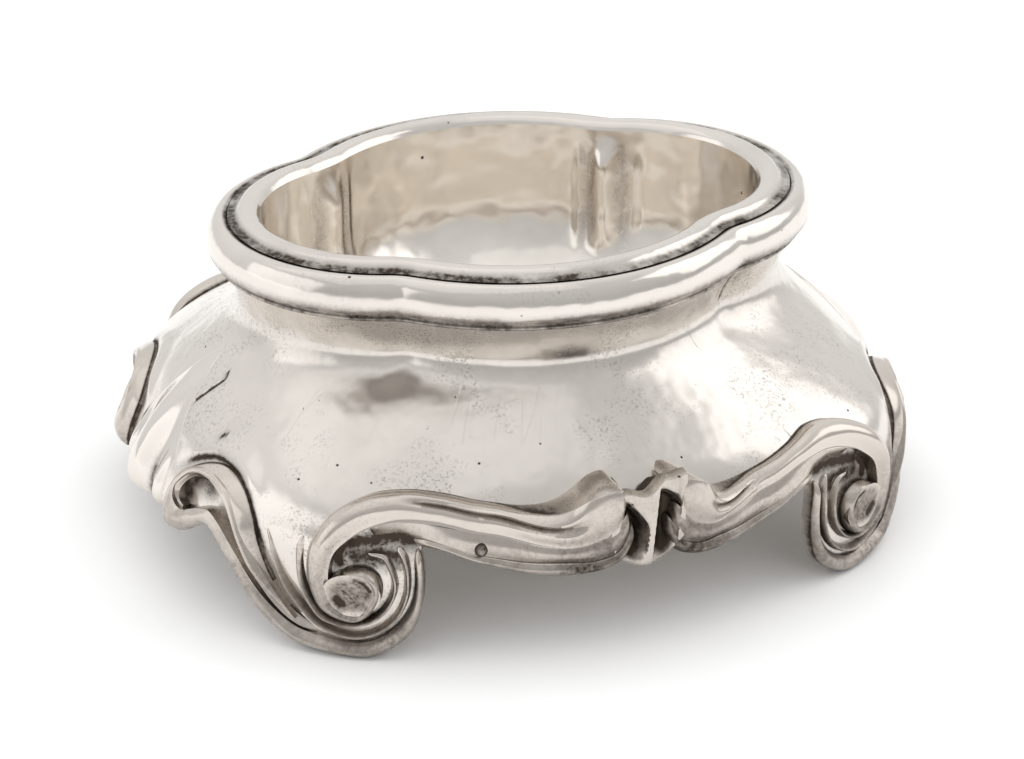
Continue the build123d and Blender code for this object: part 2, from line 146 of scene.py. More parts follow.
def lobes(share: np.ndarray, sizes: Sequence[np.ndarray], offset: np.ndarray) -> tuple[np.ndarray, ...]:
    """Points on the front right quarter of four-lobed outlines.

    Args:
        share: Place from the front centre, 0, through the corner, 0.5, to the end centre, 1.
        sizes: Half length, half depth, corner x, corner y and blend.
        offset: Distance that the outline is moved outwards.

    Returns:
        x, y, and the lengths from the front centre to the corner and from there to the end centre.
    """
    share, length, depth, corner_x, corner_y, blend, offset = np.broadcast_arrays(share, *sizes, offset)
    front_sag, end_sag = depth - corner_y, length - corner_x
    front_r = (corner_x**2 + front_sag**2) / (2 * front_sag)
    end_r = (corner_y**2 + end_sag**2) / (2 * end_sag)
    front_c, end_c = depth - front_r, length - end_r
    front_r, end_r = front_r + offset, end_r + offset
    apart = np.hypot(end_c, front_c)
    along = (apart**2 + front_r**2 - end_r**2) / (2 * apart)
    aside = np.sqrt(front_r**2 - along**2)
    x_a, y_a = (along * end_c + aside * front_c) / apart, -front_c + (along * front_c - aside * end_c) / apart
    x_b, y_b = (along * end_c - aside * front_c) / apart, -front_c + (along * front_c + aside * end_c) / apart
    out = 1 + offset / np.hypot(corner_x, corner_y)
    want_x, want_y = corner_x * out, -corner_y * out
    first = np.hypot(x_a - want_x, y_a - want_y) < np.hypot(x_b - want_x, y_b - want_y)
    x, y = np.where(first, x_a, x_b), np.where(first, y_a, y_b)
    front_turn = np.arctan2(x, -y - front_c) - blend / front_r
    end_turn = np.arctan2(-y, x - end_c) - blend / end_r
    start = np.stack([front_r * np.sin(front_turn), -front_c - front_r * np.cos(front_turn)])
    stop = np.stack([end_c + end_r * np.cos(end_turn), -end_r * np.sin(end_turn)])
    reach = np.hypot(*(stop - start)) / 3
    leave = start + reach * np.stack([np.cos(front_turn), np.sin(front_turn)])
    enter = stop - reach * np.stack([np.sin(end_turn), np.cos(end_turn)])

    def corner(t: np.ndarray) -> np.ndarray:
        """Point on the corner blend."""
        return (1 - t) ** 3 * start + 3 * t * (1 - t) ** 2 * leave + 3 * t * t * (1 - t) * enter + t**3 * stop

    chords = [corner(t) for t in np.linspace(0, 1, 17)]
    blend_length = sum(np.hypot(*(q - p)) for p, q in zip(chords, chords[1:]))
    front_length = front_r * front_turn
    to_corner, from_corner = front_length + blend_length / 2, end_r * end_turn + blend_length / 2
    s = np.where(share < 0.5, 2 * share * to_corner, to_corner + (2 * share - 1) * from_corner)
    middle = corner(np.clip((s - front_length) / blend_length, 0, 1))
    rest = (to_corner + from_corner - s) / end_r
    on_front, on_blend = s < front_length, s < front_length + blend_length
    past_x = np.where(on_blend, middle[0], end_c + end_r * np.cos(rest))
    past_y = np.where(on_blend, middle[1], -end_r * np.sin(rest))
    x = np.where(on_front, front_r * np.sin(s / front_r), past_x)
    y = np.where(on_front, -front_c - front_r * np.cos(s / front_r), past_y)
    return x, y, to_corner, from_corner


@dataclass(frozen=True)
class Form:
    """Driving sizes of the salt, shared by its pieces."""

    rim: Outline = Outline(32.2, 25.1, 18.6, 17.3, 1.6)
    spread: Outline = Outline(41.4, 36.6, 34.0, 29.3, 9.0)
    notch_closing: float = 0.4
    notch_blends: Flat = (0.6, 4.0)
    body_height: float = 31.8
    neck_drop: float = 5.4
    neck_inset: float = 1.1
    neck_top_proud: float = 0.9
    neck_blend: float = 1.3
    neck_easing: float = 1.3
    spread_z: float = 12.8
    foot_tuck: float = 0.8
    flare_power: float = 1.3
    body_wall: float = 1.3
    collar_height: float = 5.0
    lip_height: float = 0.9
    lip_width: float = 3.7
    bowl_depth: float = 18.6
    bowl_wall: float = 0.8
    bowl_round: float = 9.0
    curl_lift: float = 1.6
    curl_reach: Flat = (6.4, 15.4)
    hook_lift: float = 2.0
    hook_reach: Flat = (9.0, 20.0)
    hook_rise: Flat = (9.0, 16.0)

    @property
    def neck_z(self) -> float:
        """Height of the narrowest part of the neck."""
        return self.body_height - self.neck_drop

    @property
    def lip_seat_z(self) -> float:
        """Height of the face that the lip sits on."""
        return self.body_height + self.collar_height

    @property
    def rim_z(self) -> float:
        """Height of the lip's crest."""
        return self.lip_seat_z + self.lip_height

    @cached_property
    def reaches(self) -> Flat:
        """Lengths of the scroll border from the front centre to the corner and from there to the end."""
        _, _, to_corner, from_corner = self.body_at(0.5, self.spread_z)
        return float(to_corner), float(from_corner)

    @property
    def border(self) -> float:
        """Length of the scroll border round one quarter."""
        return sum(self.reaches)

    def share(self, s: np.ndarray) -> np.ndarray:
        """Place on a quarter outline of a length along the border."""
        front, end = self.reaches
        return np.where(s < front, s / (2 * front), 0.5 + (s - front) / (2 * end))

    def rim_at(
        self, share: np.ndarray, offset: np.ndarray, blend: Optional[np.ndarray] = None,
    ) -> tuple[np.ndarray, ...]:
        """Point on the rim outline, moved outwards by an offset; the notches close up as it grows."""
        length, depth, corner_x, corner_y, rim_blend = self.rim.sizes()
        if blend is None:
            blend = np.clip(rim_blend - self.notch_closing * np.asarray(offset), *self.notch_blends)
        return lobes(share, (length, depth, corner_x, corner_y, blend), offset)[:2]

    def body_at(self, share: np.ndarray, z: np.ndarray, offset: np.ndarray = 0.0) -> tuple[np.ndarray, ...]:
        """Point on the body at a height, moved outwards by an offset.

        Args:
            share: Place on the quarter outline.
            z: Height above the ground.
            offset: Distance outwards from the body's face.

        Returns:
            x, y and the two lengths of the quarter at that height.
        """
        z = np.asarray(z, float)
        flare = 0.0
        steps = np.linspace(-self.neck_easing, self.neck_easing, 7)
        for step in steps:
            fall = np.clip((self.neck_z - z - step) / (self.neck_z - self.spread_z), 0, 1)
            flare = flare + np.sin(np.pi / 2 * fall) ** self.flare_power / len(steps)
        rise = np.clip(z - self.neck_z, 0, None) / self.neck_drop
        tuck = self.foot_tuck * (np.clip(self.spread_z - z, 0, None) / self.spread_z) ** 2
        neck = -self.neck_inset + (self.neck_inset + self.neck_top_proud) * rise**2
        waist = replace(self.rim, blend=self.neck_blend).sizes()
        sizes = [a + flare * (b - a) for a, b in zip(waist, self.spread.sizes())]
        return lobes(share, sizes, (1 - flare) * neck - tuck + offset)

    def on_body(self, s: np.ndarray, z: np.ndarray, offset: np.ndarray = 0.0) -> np.ndarray:
        """Points on the body by length along the border and height; the ends swell out low down."""
        s, z = np.broadcast_arrays(np.asarray(s, float), np.asarray(z, float))
        lift = self.hook_lift * (1 - ease(self.border - s, *self.hook_reach)) * (1 - ease(z, *self.hook_rise))
        x, y, _, _ = self.body_at(self.share(s), z, lift + offset)
        return np.stack([x, y, z], axis=-1)

    def on_border(self, s: np.ndarray, z: np.ndarray) -> np.ndarray:
        """Points on the face that the scrolls lie on: the body, drawn out upright beside the front clasp."""
        s, z = np.broadcast_arrays(np.asarray(s, float), np.asarray(z, float))
        points = self.on_body(s, z)
        x, y, _, _ = self.body_at(self.share(s), self.spread_z, self.curl_lift)
        near = 1 - ease(s, *self.curl_reach)
        return points + (np.stack([x, y, z], axis=-1) - points) * near[..., None]

    def relief(self, s: np.ndarray, z: np.ndarray, proud: np.ndarray) -> np.ndarray:
        """Points standing proud of the scroll border by a distance square to it."""
        step = 0.05
        level = self.on_border(s + step, z) - self.on_border(s - step, z)
        upright = self.on_border(s, z + step) - self.on_border(s, z - step)
        out = np.cross(level, upright)
        out /= np.linalg.norm(out, axis=-1, keepdims=True)
        return self.on_border(s, z) + out * np.asarray(proud)[..., None]


# Meshes


@dataclass
class Shape:
    """Vertices in millimetres, faces, and how much each vertex is darkened, by tarnish and dirt and by
    painted shade.
    """

    points: np.ndarray
    faces: list[tuple[int, ...]]
    grime_and_shade: np.ndarray

    def plus(self, other: "Shape") -> "Shape":
        """This shape with another added to it."""
        shift = len(self.points)
        moved = [tuple(i + shift for i in face) for face in other.faces]
        return Shape(
            np.concatenate([self.points, other.points]),
            self.faces + moved,
            np.concatenate([self.grime_and_shade, other.grime_and_shade]),
        )

    def mirrored(self, across_x: bool, across_y: bool) -> "Shape":
        """This shape mirrored left to right, front to back, or both."""
        sign = np.array([-1.0 if across_x else 1.0, -1.0 if across_y else 1.0, 1.0])
        flip = across_x != across_y
        faces = [tuple(reversed(face)) for face in self.faces] if flip else list(self.faces)
        return Shape(self.points * sign, faces, self.grime_and_shade)


def grid(points: np.ndarray, grime_and_shade: np.ndarray, close_u: bool, close_v: bool, caps: bool = False) -> Shape:
    """Quads over a grid of points.

    Args:
        points: Array of rows by columns by 3.
        grime_and_shade: Array of rows by columns.
        close_u: Joins the last row to the first.
        close_v: Joins the last column to the first.
        caps: Closes the first and last rows with one face each.

    Returns:
        The shape.
    """
    rows, columns = points.shape[:2]
    faces = []
    for i in range(rows if close_u else rows - 1):
        for j in range(columns if close_v else columns - 1):
            k, m = (i + 1) % rows, (j + 1) % columns
            faces.append((i * columns + j, k * columns + j, k * columns + m, i * columns + m))
    if caps:
        faces.append(tuple(range(columns)))
        faces.append(tuple(reversed(range((rows - 1) * columns, rows * columns))))
    return Shape(points.reshape(-1, 3), faces, np.broadcast_to(grime_and_shade, (rows, columns)).reshape(-1))


def ring(turn: np.ndarray) -> tuple[np.ndarray, np.ndarray, np.ndarray]:
    """Splits a turn of 0 to 4 quarters into the share of the first quarter and its mirror signs."""
    turn = np.mod(turn, 4.0)
    quarter = np.floor(turn).astype(int)
    share = np.where(quarter % 2 == 0, turn - quarter, 1 - (turn - quarter))
    return share, np.where(quarter < 2, 1.0, -1.0), np.where((quarter == 0) | (quarter == 3), 1.0, -1.0)


class Slot(Enum):
    """The record's material slots."""

    POLISHED = "polished_silver"
    WORN = "worn_silver"
    SATIN = "satin_silver"


def add_piece(name: str, node: str, shape: Shape, finish: bpy.types.Material) -> bpy.types.Object:
    """Puts a shape into the scene in place of a CAD node.

    Args:
        name: Piece name.
        node: CAD node that the piece stands for.
        shape: Mesh in millimetres.
        finish: Material.

    Returns:
        The new object.
    """
    mesh = bpy.data.meshes.new(name)
    mesh.from_pydata((shape.points * MM).tolist(), [], shape.faces)
    held = mesh.attributes.new("grime_and_shade", "FLOAT", "POINT")
    held.data.foreach_set("value", np.ascontiguousarray(shape.grime_and_shade, np.float32))
    work = bmesh.new()
    work.from_mesh(mesh)
    bmesh.ops.remove_doubles(work, verts=work.verts, dist=WELD_M)
    bmesh.ops.recalc_face_normals(work, faces=work.faces)
    work.to_mesh(mesh)
    work.free()
    mesh.shade_smooth()
    mesh.set_sharp_from_angle(angle=math.radians(SHARP_DEG))
    mesh.materials.append(finish)
    piece = bpy.data.objects.new(name, mesh)
    bpy.context.scene.collection.objects.link(piece)
    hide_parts(node)
    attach(piece, "root")
    LOG.info("%s: %d faces", name, len(mesh.polygons))
    return piece


# Finishes


def linear(code: str) -> tuple[float, float, float, float]:
    """Linear colour of an sRGB hex code."""
    parts = [int(code[i:i + 2], 16) / 255 for i in (1, 3, 5)]
    return (*[c / 12.92 if c <= 0.04045 else ((c + 0.055) / 1.055) ** 2.4 for c in parts], 1.0)


def add_node(
    tree: bpy.types.NodeTree, kind: str, settings: Optional[dict] = None, **links: object,
) -> bpy.types.Node:
    """Adds a shader node.

    Args:
        tree: Node tree.
        kind: Node type, without the ShaderNode prefix.
        settings: Properties of the node.
        links: Input name, with _ for a space, or i and its number, to a value, an output or a node,
            which stands for its first output.

    Returns:
        The node.
    """
    node = tree.nodes.new("ShaderNode" + kind)
    for key, value in (settings or {}).items():
        setattr(node, key, value)
    for key, value in links.items():
        socket = node.inputs[int(key[1:])] if key[1:].isdigit() else node.inputs[key.replace("_", " ")]
        value = value.outputs[0] if isinstance(value, bpy.types.Node) else value
        if isinstance(value, bpy.types.NodeSocket):
            tree.links.new(value, socket)
        else:
            socket.default_value = value
    return node


@dataclass(frozen=True)
class SilverFinish:
    """Sterling silver, cast or raised, polished by hand and worn; tarnish stays in its hollows."""

    name: str
    metal: str = "#E3DDD6"
    tarnish: str = "#4B423A"
    roughness: float = 0.16
    mottle: float = 0.10
    cloud_mm: float = 14.0
    grain_mm: float = 0.7
    patch_mm: float = 9.0
    left_mm: float = 5.0
    crevice_mm: float = 1.6
    crevice_gain: float = 1.0
    fleck_mm: float = 0.35
    flecks: float = 0.3
    kept_grime_and_shade: float = 0.6
    solid_grime_and_shade: float = 0.5
    grime_and_shade_roughness: float = 0.55
    pit_spacing_mm: float = 5.0
    pit_depth_mm: float = 0.1
    pit_strength: float = 0.3
    unevenness: float = 0.05
    ripple_mm: float = 6.0
    ripple_depth: float = 0.05

    def make(self) -> bpy.types.Material:
        """Builds the material."""
        material = bpy.data.materials.new(self.name)
        material.use_nodes = True
        tree = material.node_tree
        shader = tree.nodes["Principled BSDF"]
        place = add_node(tree, "TexCoord").outputs["Object"]
        # broad stains and fine mottling of old polish
        cloud = add_node(
            tree, "TexNoise", Vector=place, Scale=1 / (self.cloud_mm * MM), Detail=4.0, Roughness=0.6,
        )
        grain = add_node(
            tree, "TexNoise", Vector=place, Scale=1 / (self.grain_mm * MM), Detail=3.0, Roughness=0.7,
        )
        # rubbed patches, where the skin is finely speckled
        fleck = add_node(
            tree, "TexNoise", Vector=place, Scale=1 / (self.fleck_mm * MM), Detail=2.0, Roughness=0.6,
        )
        patch = add_node(
            tree, "TexNoise", Vector=place, Scale=1 / (self.patch_mm * MM), Detail=3.0, Roughness=0.65,
        )
        where = add_node(tree, "MapRange", Value=patch, From_Min=0.5, From_Max=0.64, To_Max=self.flecks)
        spots = add_node(tree, "MapRange", Value=fleck, From_Min=0.52, From_Max=0.68)
        rubbed = add_node(tree, "Math", {"operation": "MULTIPLY"}, i0=where, i1=spots)
        # casting pits, few and small
        cells = add_node(tree, "TexVoronoi", Vector=place, Scale=1 / (self.pit_spacing_mm * MM))
        pit = add_node(tree, "MapRange", Value=cells.outputs["Distance"], From_Min=0.05, From_Max=0.025)
        # tarnish: hollows of the shape and the painted grooves; the painted attribute also carries painted
        # shade and painted reflections
        shade = add_node(tree, "AmbientOcclusion", {"samples": 8}, Distance=self.crevice_mm * MM)
        hollow = add_node(
            tree, "MapRange", Value=shade.outputs["AO"], From_Min=0.55, From_Max=0.12,
            To_Max=self.crevice_gain,
        )
        painted = add_node(tree, "Attribute", {"attribute_name": "grime_and_shade"})
        both = add_node(tree, "Math", {"operation": "MAXIMUM"}, i0=hollow, i1=painted.outputs["Fac"])
        speck = add_node(tree, "MapRange", Value=grain, From_Min=0.3, From_Max=0.65, To_Min=0.6, To_Max=1.15)
        left = add_node(
            tree, "TexNoise", Vector=place, Scale=1 / (self.left_mm * MM), Detail=3.0, Roughness=0.6,
        )
        kept = add_node(
            tree, "MapRange", Value=left, From_Min=0.36, From_Max=0.56, To_Min=self.kept_grime_and_shade,
            To_Max=1.05,
        )
        broken = add_node(tree, "Math", {"operation": "MULTIPLY"}, i0=speck, i1=kept)
        thin = add_node(tree, "Math", {"operation": "MULTIPLY"}, i0=both, i1=broken)
        thick = add_node(tree, "Math", {"operation": "POWER", "use_clamp": True}, i0=both, i1=3.0)
        # dirt here also holds the painted shade and painted reflections that the painted attribute carries
        dirt = add_node(
            tree, "Math", {"operation": "MULTIPLY_ADD", "use_clamp": True},
            i0=thick, i1=self.solid_grime_and_shade, i2=thin,
        )
        with_pits = add_node(tree, "Math", {"operation": "MAXIMUM", "use_clamp": True}, i0=dirt, i1=pit)
        stain = add_node(tree, "MapRange", Value=cloud, From_Min=0.5, From_Max=0.75, To_Max=self.mottle)
        soft = add_node(tree, "Math", {"operation": "ADD"}, i0=stain, i1=rubbed)
        total = add_node(tree, "Math", {"operation": "ADD", "use_clamp": True}, i0=with_pits, i1=soft)
        colour = add_node(
            tree, "Mix", {"data_type": "RGBA"},
            i0=total, i6=linear(self.metal), i7=linear(self.tarnish),
        )
        tree.links.new(colour.outputs[2], shader.inputs["Base Color"])
        shader.inputs["Metallic"].default_value = 1.0
        rough = add_node(tree, "MapRange", Value=total, To_Min=self.roughness, To_Max=self.grime_and_shade_roughness)
        vary = add_node(tree, "MapRange", Value=grain, To_Min=-self.unevenness, To_Max=self.unevenness)
        uneven = add_node(tree, "Math", {"operation": "ADD", "use_clamp": True}, i0=rough, i1=vary)
        tree.links.new(uneven.outputs[0], shader.inputs["Roughness"])
        ripple = add_node(tree, "TexNoise", Vector=place, Scale=1 / (self.ripple_mm * MM), Detail=2.0)
        swell = add_node(
            tree, "Bump", Strength=self.ripple_depth, Distance=self.ripple_mm * MM, Height=ripple,
        )
        cuts = add_node(
            tree, "Bump", {"invert": True}, Strength=self.pit_strength, Distance=self.pit_depth_mm * MM,
            Height=pit, Normal=swell,
        )
        tree.links.new(cuts.outputs[0], shader.inputs["Normal"])
        return material


# Round pieces


@dataclass
class RingPiece:
    """A moulding that runs round the rim outline."""

    form: Form
    steps: int = 150
    gather: float = 1.6

    def sweep(
        self, profile: np.ndarray, grime_and_shade: np.ndarray, first: float = 0.0, last: float = 4.0,
        closed: bool = True, blend: Optional[np.ndarray] = None,
    ) -> Shape:
        """Runs a closed profile round the rim, with more sections near the notches.

        Args:
            profile: Rows of offset from the rim outline and height.
            grime_and_shade: Darkening of each profile point, by tarnish and by painted shade.
            first: Quarter turn that it starts at.
            last: Quarter turn that it stops at.
            closed: Whether the ring closes on itself.
            blend: Blend of the notches at each profile point, where it isn't the rim's own.

        Returns:
            The shape.
        """
        count = int(self.steps * (last - first))
        turn = np.linspace(first, last, count, endpoint=not closed)
        notch = np.floor(turn) + 0.5
        away = np.abs(turn - notch) * 2
        turn = notch + np.sign(turn - notch) * away**self.gather / 2
        share, sign_x, sign_y = ring(turn)
        blends = None if blend is None else blend[None, :]
        x, y = self.form.rim_at(share[:, None], profile[None, :, 0], blends)
        z = np.broadcast_to(profile[None, :, 1], x.shape)
        points = np.stack([x * sign_x[:, None], y * sign_y[:, None], z], axis=-1)
        return grid(points, np.broadcast_to(grime_and_shade, x.shape), closed, True, caps=not closed)


@dataclass
class LipRing(RingPiece):
    """Low rounded wire round the mouth, with a groove outside it."""

    face: tuple[Flat, ...] = (
        (-0.1, 0.0), (-0.35, 0.06), (-0.75, 0.16), (-1.1, 0.36), (-1.4, 0.64), (-1.8, 0.84), (-2.3, 0.9),
        (-2.9, 0.78), (-3.35, 0.48), (-3.62, 0.12), (-3.7, 0.0),
    )

    def build(self, finish: bpy.types.Material) -> None:
        """Makes the lip."""
        profile = smooth(self.face, 40) + np.array([0.0, self.form.lip_seat_z])
        grime_and_shade = ease(profile[:, 0], -1.4, -0.7)
        add_piece("lip_wire", "lip_ring", self.sweep(profile, grime_and_shade), finish)


@dataclass
class Bowl(RingPiece):
    """Bowl: upright lobed wall, pinched in at the notches, rounding into a flat floor."""

    base_blend: float = 3.1
    pinch_blend: float = 0.7
    pinch_rise: Flat = (1.0, 7.0)
    pinch_fall: Flat = (6.0, 0.5)
    ridge: float = 1.0
    ridge_width: float = 0.045
    lesser: float = 0.3
    lesser_at: Flat = (0.085, 0.02)
    # painted shade on the flanks of the main fold at each notch
    stain: float = 0.35
    fold_shade_at: Flat = (0.055, 0.028)

    def build(self, finish: bpy.types.Material) -> None:
        """Makes the bowl."""
        form = self.form
        floor = form.rim_z - form.bowl_depth
        inside = self._side(0.0, floor, form.lip_seat_z)
        outside = self._side(form.bowl_wall, floor - form.bowl_wall, form.lip_seat_z)
        profile = np.concatenate([outside, inside[::-1]])
        start, stop = self.pinch_rise
        pinched = ease(profile[:, 1], floor + start, floor + stop)
        start, stop = self.pinch_fall
        pinched = pinched * (1 - ease(profile[:, 1], form.rim_z - start, form.rim_z - stop))
        blend = self.base_blend + (self.pinch_blend - self.base_blend) * pinched
        shape = self.sweep(profile, np.zeros(len(profile)), blend=blend)
        self._fold(shape, pinched)
        shape = self._floors(shape, len(profile))
        add_piece("bowl_well", "bowl", shape, finish)

    def _fold(self, shape: Shape, pinched: np.ndarray) -> None:
        """Draws the wall in to a fold at each notch, with a lesser one on both sides, and paints shade on the
        flanks of the main fold.
        """
        points = shape.points.reshape(-1, len(pinched), 3)
        turn = np.arange(len(points)) * 4 / len(points)
        away = (np.abs(turn - np.floor(turn) - 0.5) * 2) ** self.gather / 2
        fold = bell(away, 0.0, self.ridge_width) + self.lesser * bell(away, *self.lesser_at)
        pull = self.ridge * fold[:, None] * pinched[None, :] / np.hypot(points[..., 0], points[..., 1])
        points[..., :2] *= 1 - pull[..., None]
        # painted shade beside the main fold, added into the darkening channel
        stain = shape.grime_and_shade.reshape(points.shape[:2])
        shade = bell(away, *self.fold_shade_at)
        np.maximum(stain, self.stain * shade[:, None] * pinched[None, :], out=stain)

    def _side(self, grow: float, floor: float, top: float) -> np.ndarray:
        """Profile of one face, from the flat of the floor up to the edge."""
        form = self.form
        turn = np.linspace(0, np.pi / 2, 26)
        inset = form.bowl_round * (1 - np.sin(turn))
        low = np.stack([grow - form.lip_width - inset, floor + form.bowl_round * (1 - np.cos(turn))], axis=1)
        rise = np.linspace(floor + form.bowl_round, top, 17)[1:]
        high = np.stack([np.full_like(rise, grow - form.lip_width), rise], axis=1)
        return np.concatenate([low, high])

    def _floors(self, shape: Shape, columns: int) -> Shape:
        """Fills the flat floor, inside and outside, in place of the strip that closes the profile."""
        rows = len(shape.points) // columns
        faces = [f for f in shape.faces if {i % columns for i in f} != {0, columns - 1}]
        for column in (0, columns - 1):
            faces.append(tuple(i * columns + column for i in range(rows)))
        return Shape(shape.points, faces, shape.grime_and_shade)


@dataclass
class Collar(RingPiece):
    """Full rounded moulding under the lip, in four lengths mitred at the notches."""

    face: tuple[Flat, ...] = (
        (0.95, 0.0), (1.2, 0.12), (1.36, 0.36), (1.1, 0.66), (1.15, 0.88), (1.72, 1.0), (2.1, 1.4),
        (2.28, 2.1), (2.26, 2.9), (2.02, 3.8), (1.58, 4.5), (1.1, 4.9), (0.65, 5.06), (0.3, 5.0),
        (0.05, 4.86), (-0.08, 4.7),
    )
    inside: float = 2.0
    mitre_gap: float = 0.0008
    # tone, height and width of a dark joint line at the collar's foot, and of painted shade in the crease of
    # the undercut above it
    joint_line_and_undercut_shade: tuple[Knot, ...] = ((0.9, 0.0, 0.12), (1.2, 0.8, 0.2))
    # lower part painted darker: a painted reflection of the body's shoulder
    low_shade_tone: float = 0.75
    foot_rise: Flat = (1.0, 2.6)
    groove_reach: Flat = (0.15, 0.6)

    def build(self, finish: bpy.types.Material) -> None:
        """Makes the four lengths."""
        form = self.form
        face = smooth(self.face, 64) + np.array([0.0, form.body_height])
        back = np.array([[-self.inside, form.lip_seat_z], [-self.inside, form.body_height]])
        profile = np.concatenate([face, back])
        up = face[:, 1] - form.body_height
        # painted reflection of the body's shoulder on the lower part, with the dark joint line and the
        # painted undercut shade
        stain = self.low_shade_tone * (1 - ease(up, *self.foot_rise))
        for tone, place, width in self.joint_line_and_undercut_shade:
            stain = np.maximum(stain, tone * bell(up, place, width))
        groove = (1 - ease(face[:, 0], *self.groove_reach)) * (up > form.collar_height / 2)
        grime_and_shade = np.concatenate([np.maximum(stain, groove), [0, 0]])
        for quarter, side in enumerate(("front", "right", "back", "left")):
            first, last = quarter - 0.5 + self.mitre_gap, quarter + 0.5 - self.mitre_gap
            shape = self.sweep(profile, grime_and_shade, first, last, closed=False)
            add_piece(f"collar_length_{side}", f"collar_{side}", shape, finish)


# Body


@dataclass(frozen=True)
class Mark:
    """A dent or stain on the body: a line on the flat border, with its width, depth and how much it darkens.
    """

    line: tuple[Flat, ...]
    width: float
    depth: float
    grime_and_shade: float


@dataclass
class Body:
    """Two raised halves, spreading from the neck to the scroll border."""

    form: Form
    columns: int = 400
    rows: int = 150
    edge: tuple[Flat, ...] = (
        (0.0, 11.0), (2.0, 11.0), (5.0, 10.6), (8.6, 10.4), (12.3, 10.8), (16.7, 12.0), (19.8, 13.2),
        (22.3, 13.8), (22.6, 12.6), (22.9, 7.5), (23.6, 5.0), (24.9, 3.2), (27.6, 1.6), (30.2, 1.1),
        (33.4, 1.1), (36.8, 1.9), (40.0, 4.6), (42.1, 6.6), (44.1, 8.6), (45.9, 10.4), (47.5, 11.4),
        (49.7, 10.8), (52.2, 9.6), (55.0, 9.2), (64.8, 9.2),
    )
    arch: tuple[Flat, ...] = (
        (58.0, 13.2), (55.8, 14.4), (53.9, 15.6), (51.8, 16.5), (50.1, 16.9), (47.9, 16.9), (45.8, 16.6),
        (44.1, 15.9), (42.9, 15.2), (41.5, 13.7), (40.6, 12.3), (39.7, 10.3), (38.6, 8.0),
    )
    arch_swell: float = 0.5
    arch_groove: float = 0.45
    # band under the collar: speckled tarnish and a painted reflection of the collar's dark underside
    neck_tarnish_and_shade: float = 0.14
    neck_rise: Flat = (23.5, 27.0)
    scratches: int = 22
    scratch_clear: Flat = (2.0, 12.0)
    scratch_z: Flat = (17.5, 29.5)
    scratch_length: Flat = (1.0, 5.0)
    scratch_turn: Flat = (1.75, 0.16)
    scratch_bow: Flat = (0.0, 0.05)
    scratch_width: Flat = (0.07, 0.11)
    scratch_grime: Flat = (0.04, 0.14)
    seeds: tuple[int, int, int] = (5, 8, 3)
    hollows: tuple[Mark, ...] = (
        Mark(((31.0, 12.9), (31.4, 12.0), (31.2, 11.1)), 0.9, 0.4, 1.0),
        Mark(((30.2, 13.2), (28.2, 13.7), (25.5, 14.1), (23.5, 13.9)), 1.3, 0.5, 1.0),
        Mark(((29.6, 12.0), (27.2, 12.3), (25.0, 12.0)), 1.6, 0.4, 0.9),
        Mark(((53.4, 12.2), (53.2, 13.4), (51.8, 14.3), (49.5, 14.3)), 1.5, 0.3, 0.85),
        Mark(((47.0, 12.9), (45.0, 11.2), (42.4, 8.2)), 0.9, 0.0, 0.45),
    )
    dents: tuple[Mark, ...] = (
        Mark(
            ((61.6, 18.2), (60.7, 19.2), (59.9, 20.2), (59.2, 21.1), (58.8, 21.7), (59.3, 22.2)),
            0.26, 0.25, 1.0,
        ),
        Mark(((51.9, 18.4), (51.8, 18.5)), 0.32, 0.15, 1.0),
        Mark(((51.4, 18.6), (51.4, 18.7)), 0.22, 0.12, 1.0),
    )

    def build(self, finish: bpy.types.Material) -> None:
        """Makes the two halves; the front one has a seam under the collar and dents at its left end."""
        corner = self.form.reaches[0]
        seam = Mark(((corner, 31.7), (corner - 0.1, 30.2), (corner - 0.2, 28.4)), 0.3, 0.2, 1.0)
        worn = [self.hollows + self._scratches(seed) for seed in self.seeds]
        right = self._quarter(worn[0] + (seam,))
        left = self._quarter(worn[1] + self.dents)
        plain = self._quarter(worn[2])
        front = right.plus(left.mirrored(True, False))
        back = plain.plus(plain.mirrored(True, False)).mirrored(False, True)
        add_piece("body_half_front", "body_front", front, finish)
        add_piece("body_half_back", "body_back", back, finish)

    def _scratches(self, seed: int) -> tuple[Mark, ...]:
        """Fine scratches of use on one quarter, most of them steep, always the same ones for a seed."""
        random = np.random.default_rng(seed)
        marks = []
        for _ in range(self.scratches):
            s = random.uniform(self.scratch_clear[0], self.form.border - self.scratch_clear[1])
            middle = np.array([s, random.uniform(*self.scratch_z)])
            length = random.uniform(*self.scratch_length)
            turn = random.normal(*self.scratch_turn)
            step = np.array([math.cos(turn), math.sin(turn)]) * length / 2
            bow = random.normal(*self.scratch_bow) * np.array([-step[1], step[0]])
            line = tuple(map(tuple, (middle - step, middle + bow, middle + step)))
            width = random.uniform(*self.scratch_width)
            marks.append(Mark(line, width, 0.0, random.uniform(*self.scratch_grime)))
        return tuple(marks)

    def _quarter(self, marks: Sequence[Mark]) -> Shape:
        """Front right quarter of the shell, with its marks."""
        form = self.form
        s = np.linspace(0, form.border, self.columns)
        low = np.interp(s, *np.array(self.edge).T)
        level = np.linspace(0, 1, self.rows)
        z = low[:, None] + (form.body_height - low[:, None]) * level[None, :]
        s = np.broadcast_to(s[:, None], z.shape)
        gap, side, place = beside(s, z, self.arch)
        fade = ease(place, 0.0, 0.2) * (1 - ease(place, 0.8, 1.0))
        swell = self.arch_swell * bell(gap, 0.9, 0.8) * (side < 0) * fade * (1 - ease(place, 0.55, 0.75))
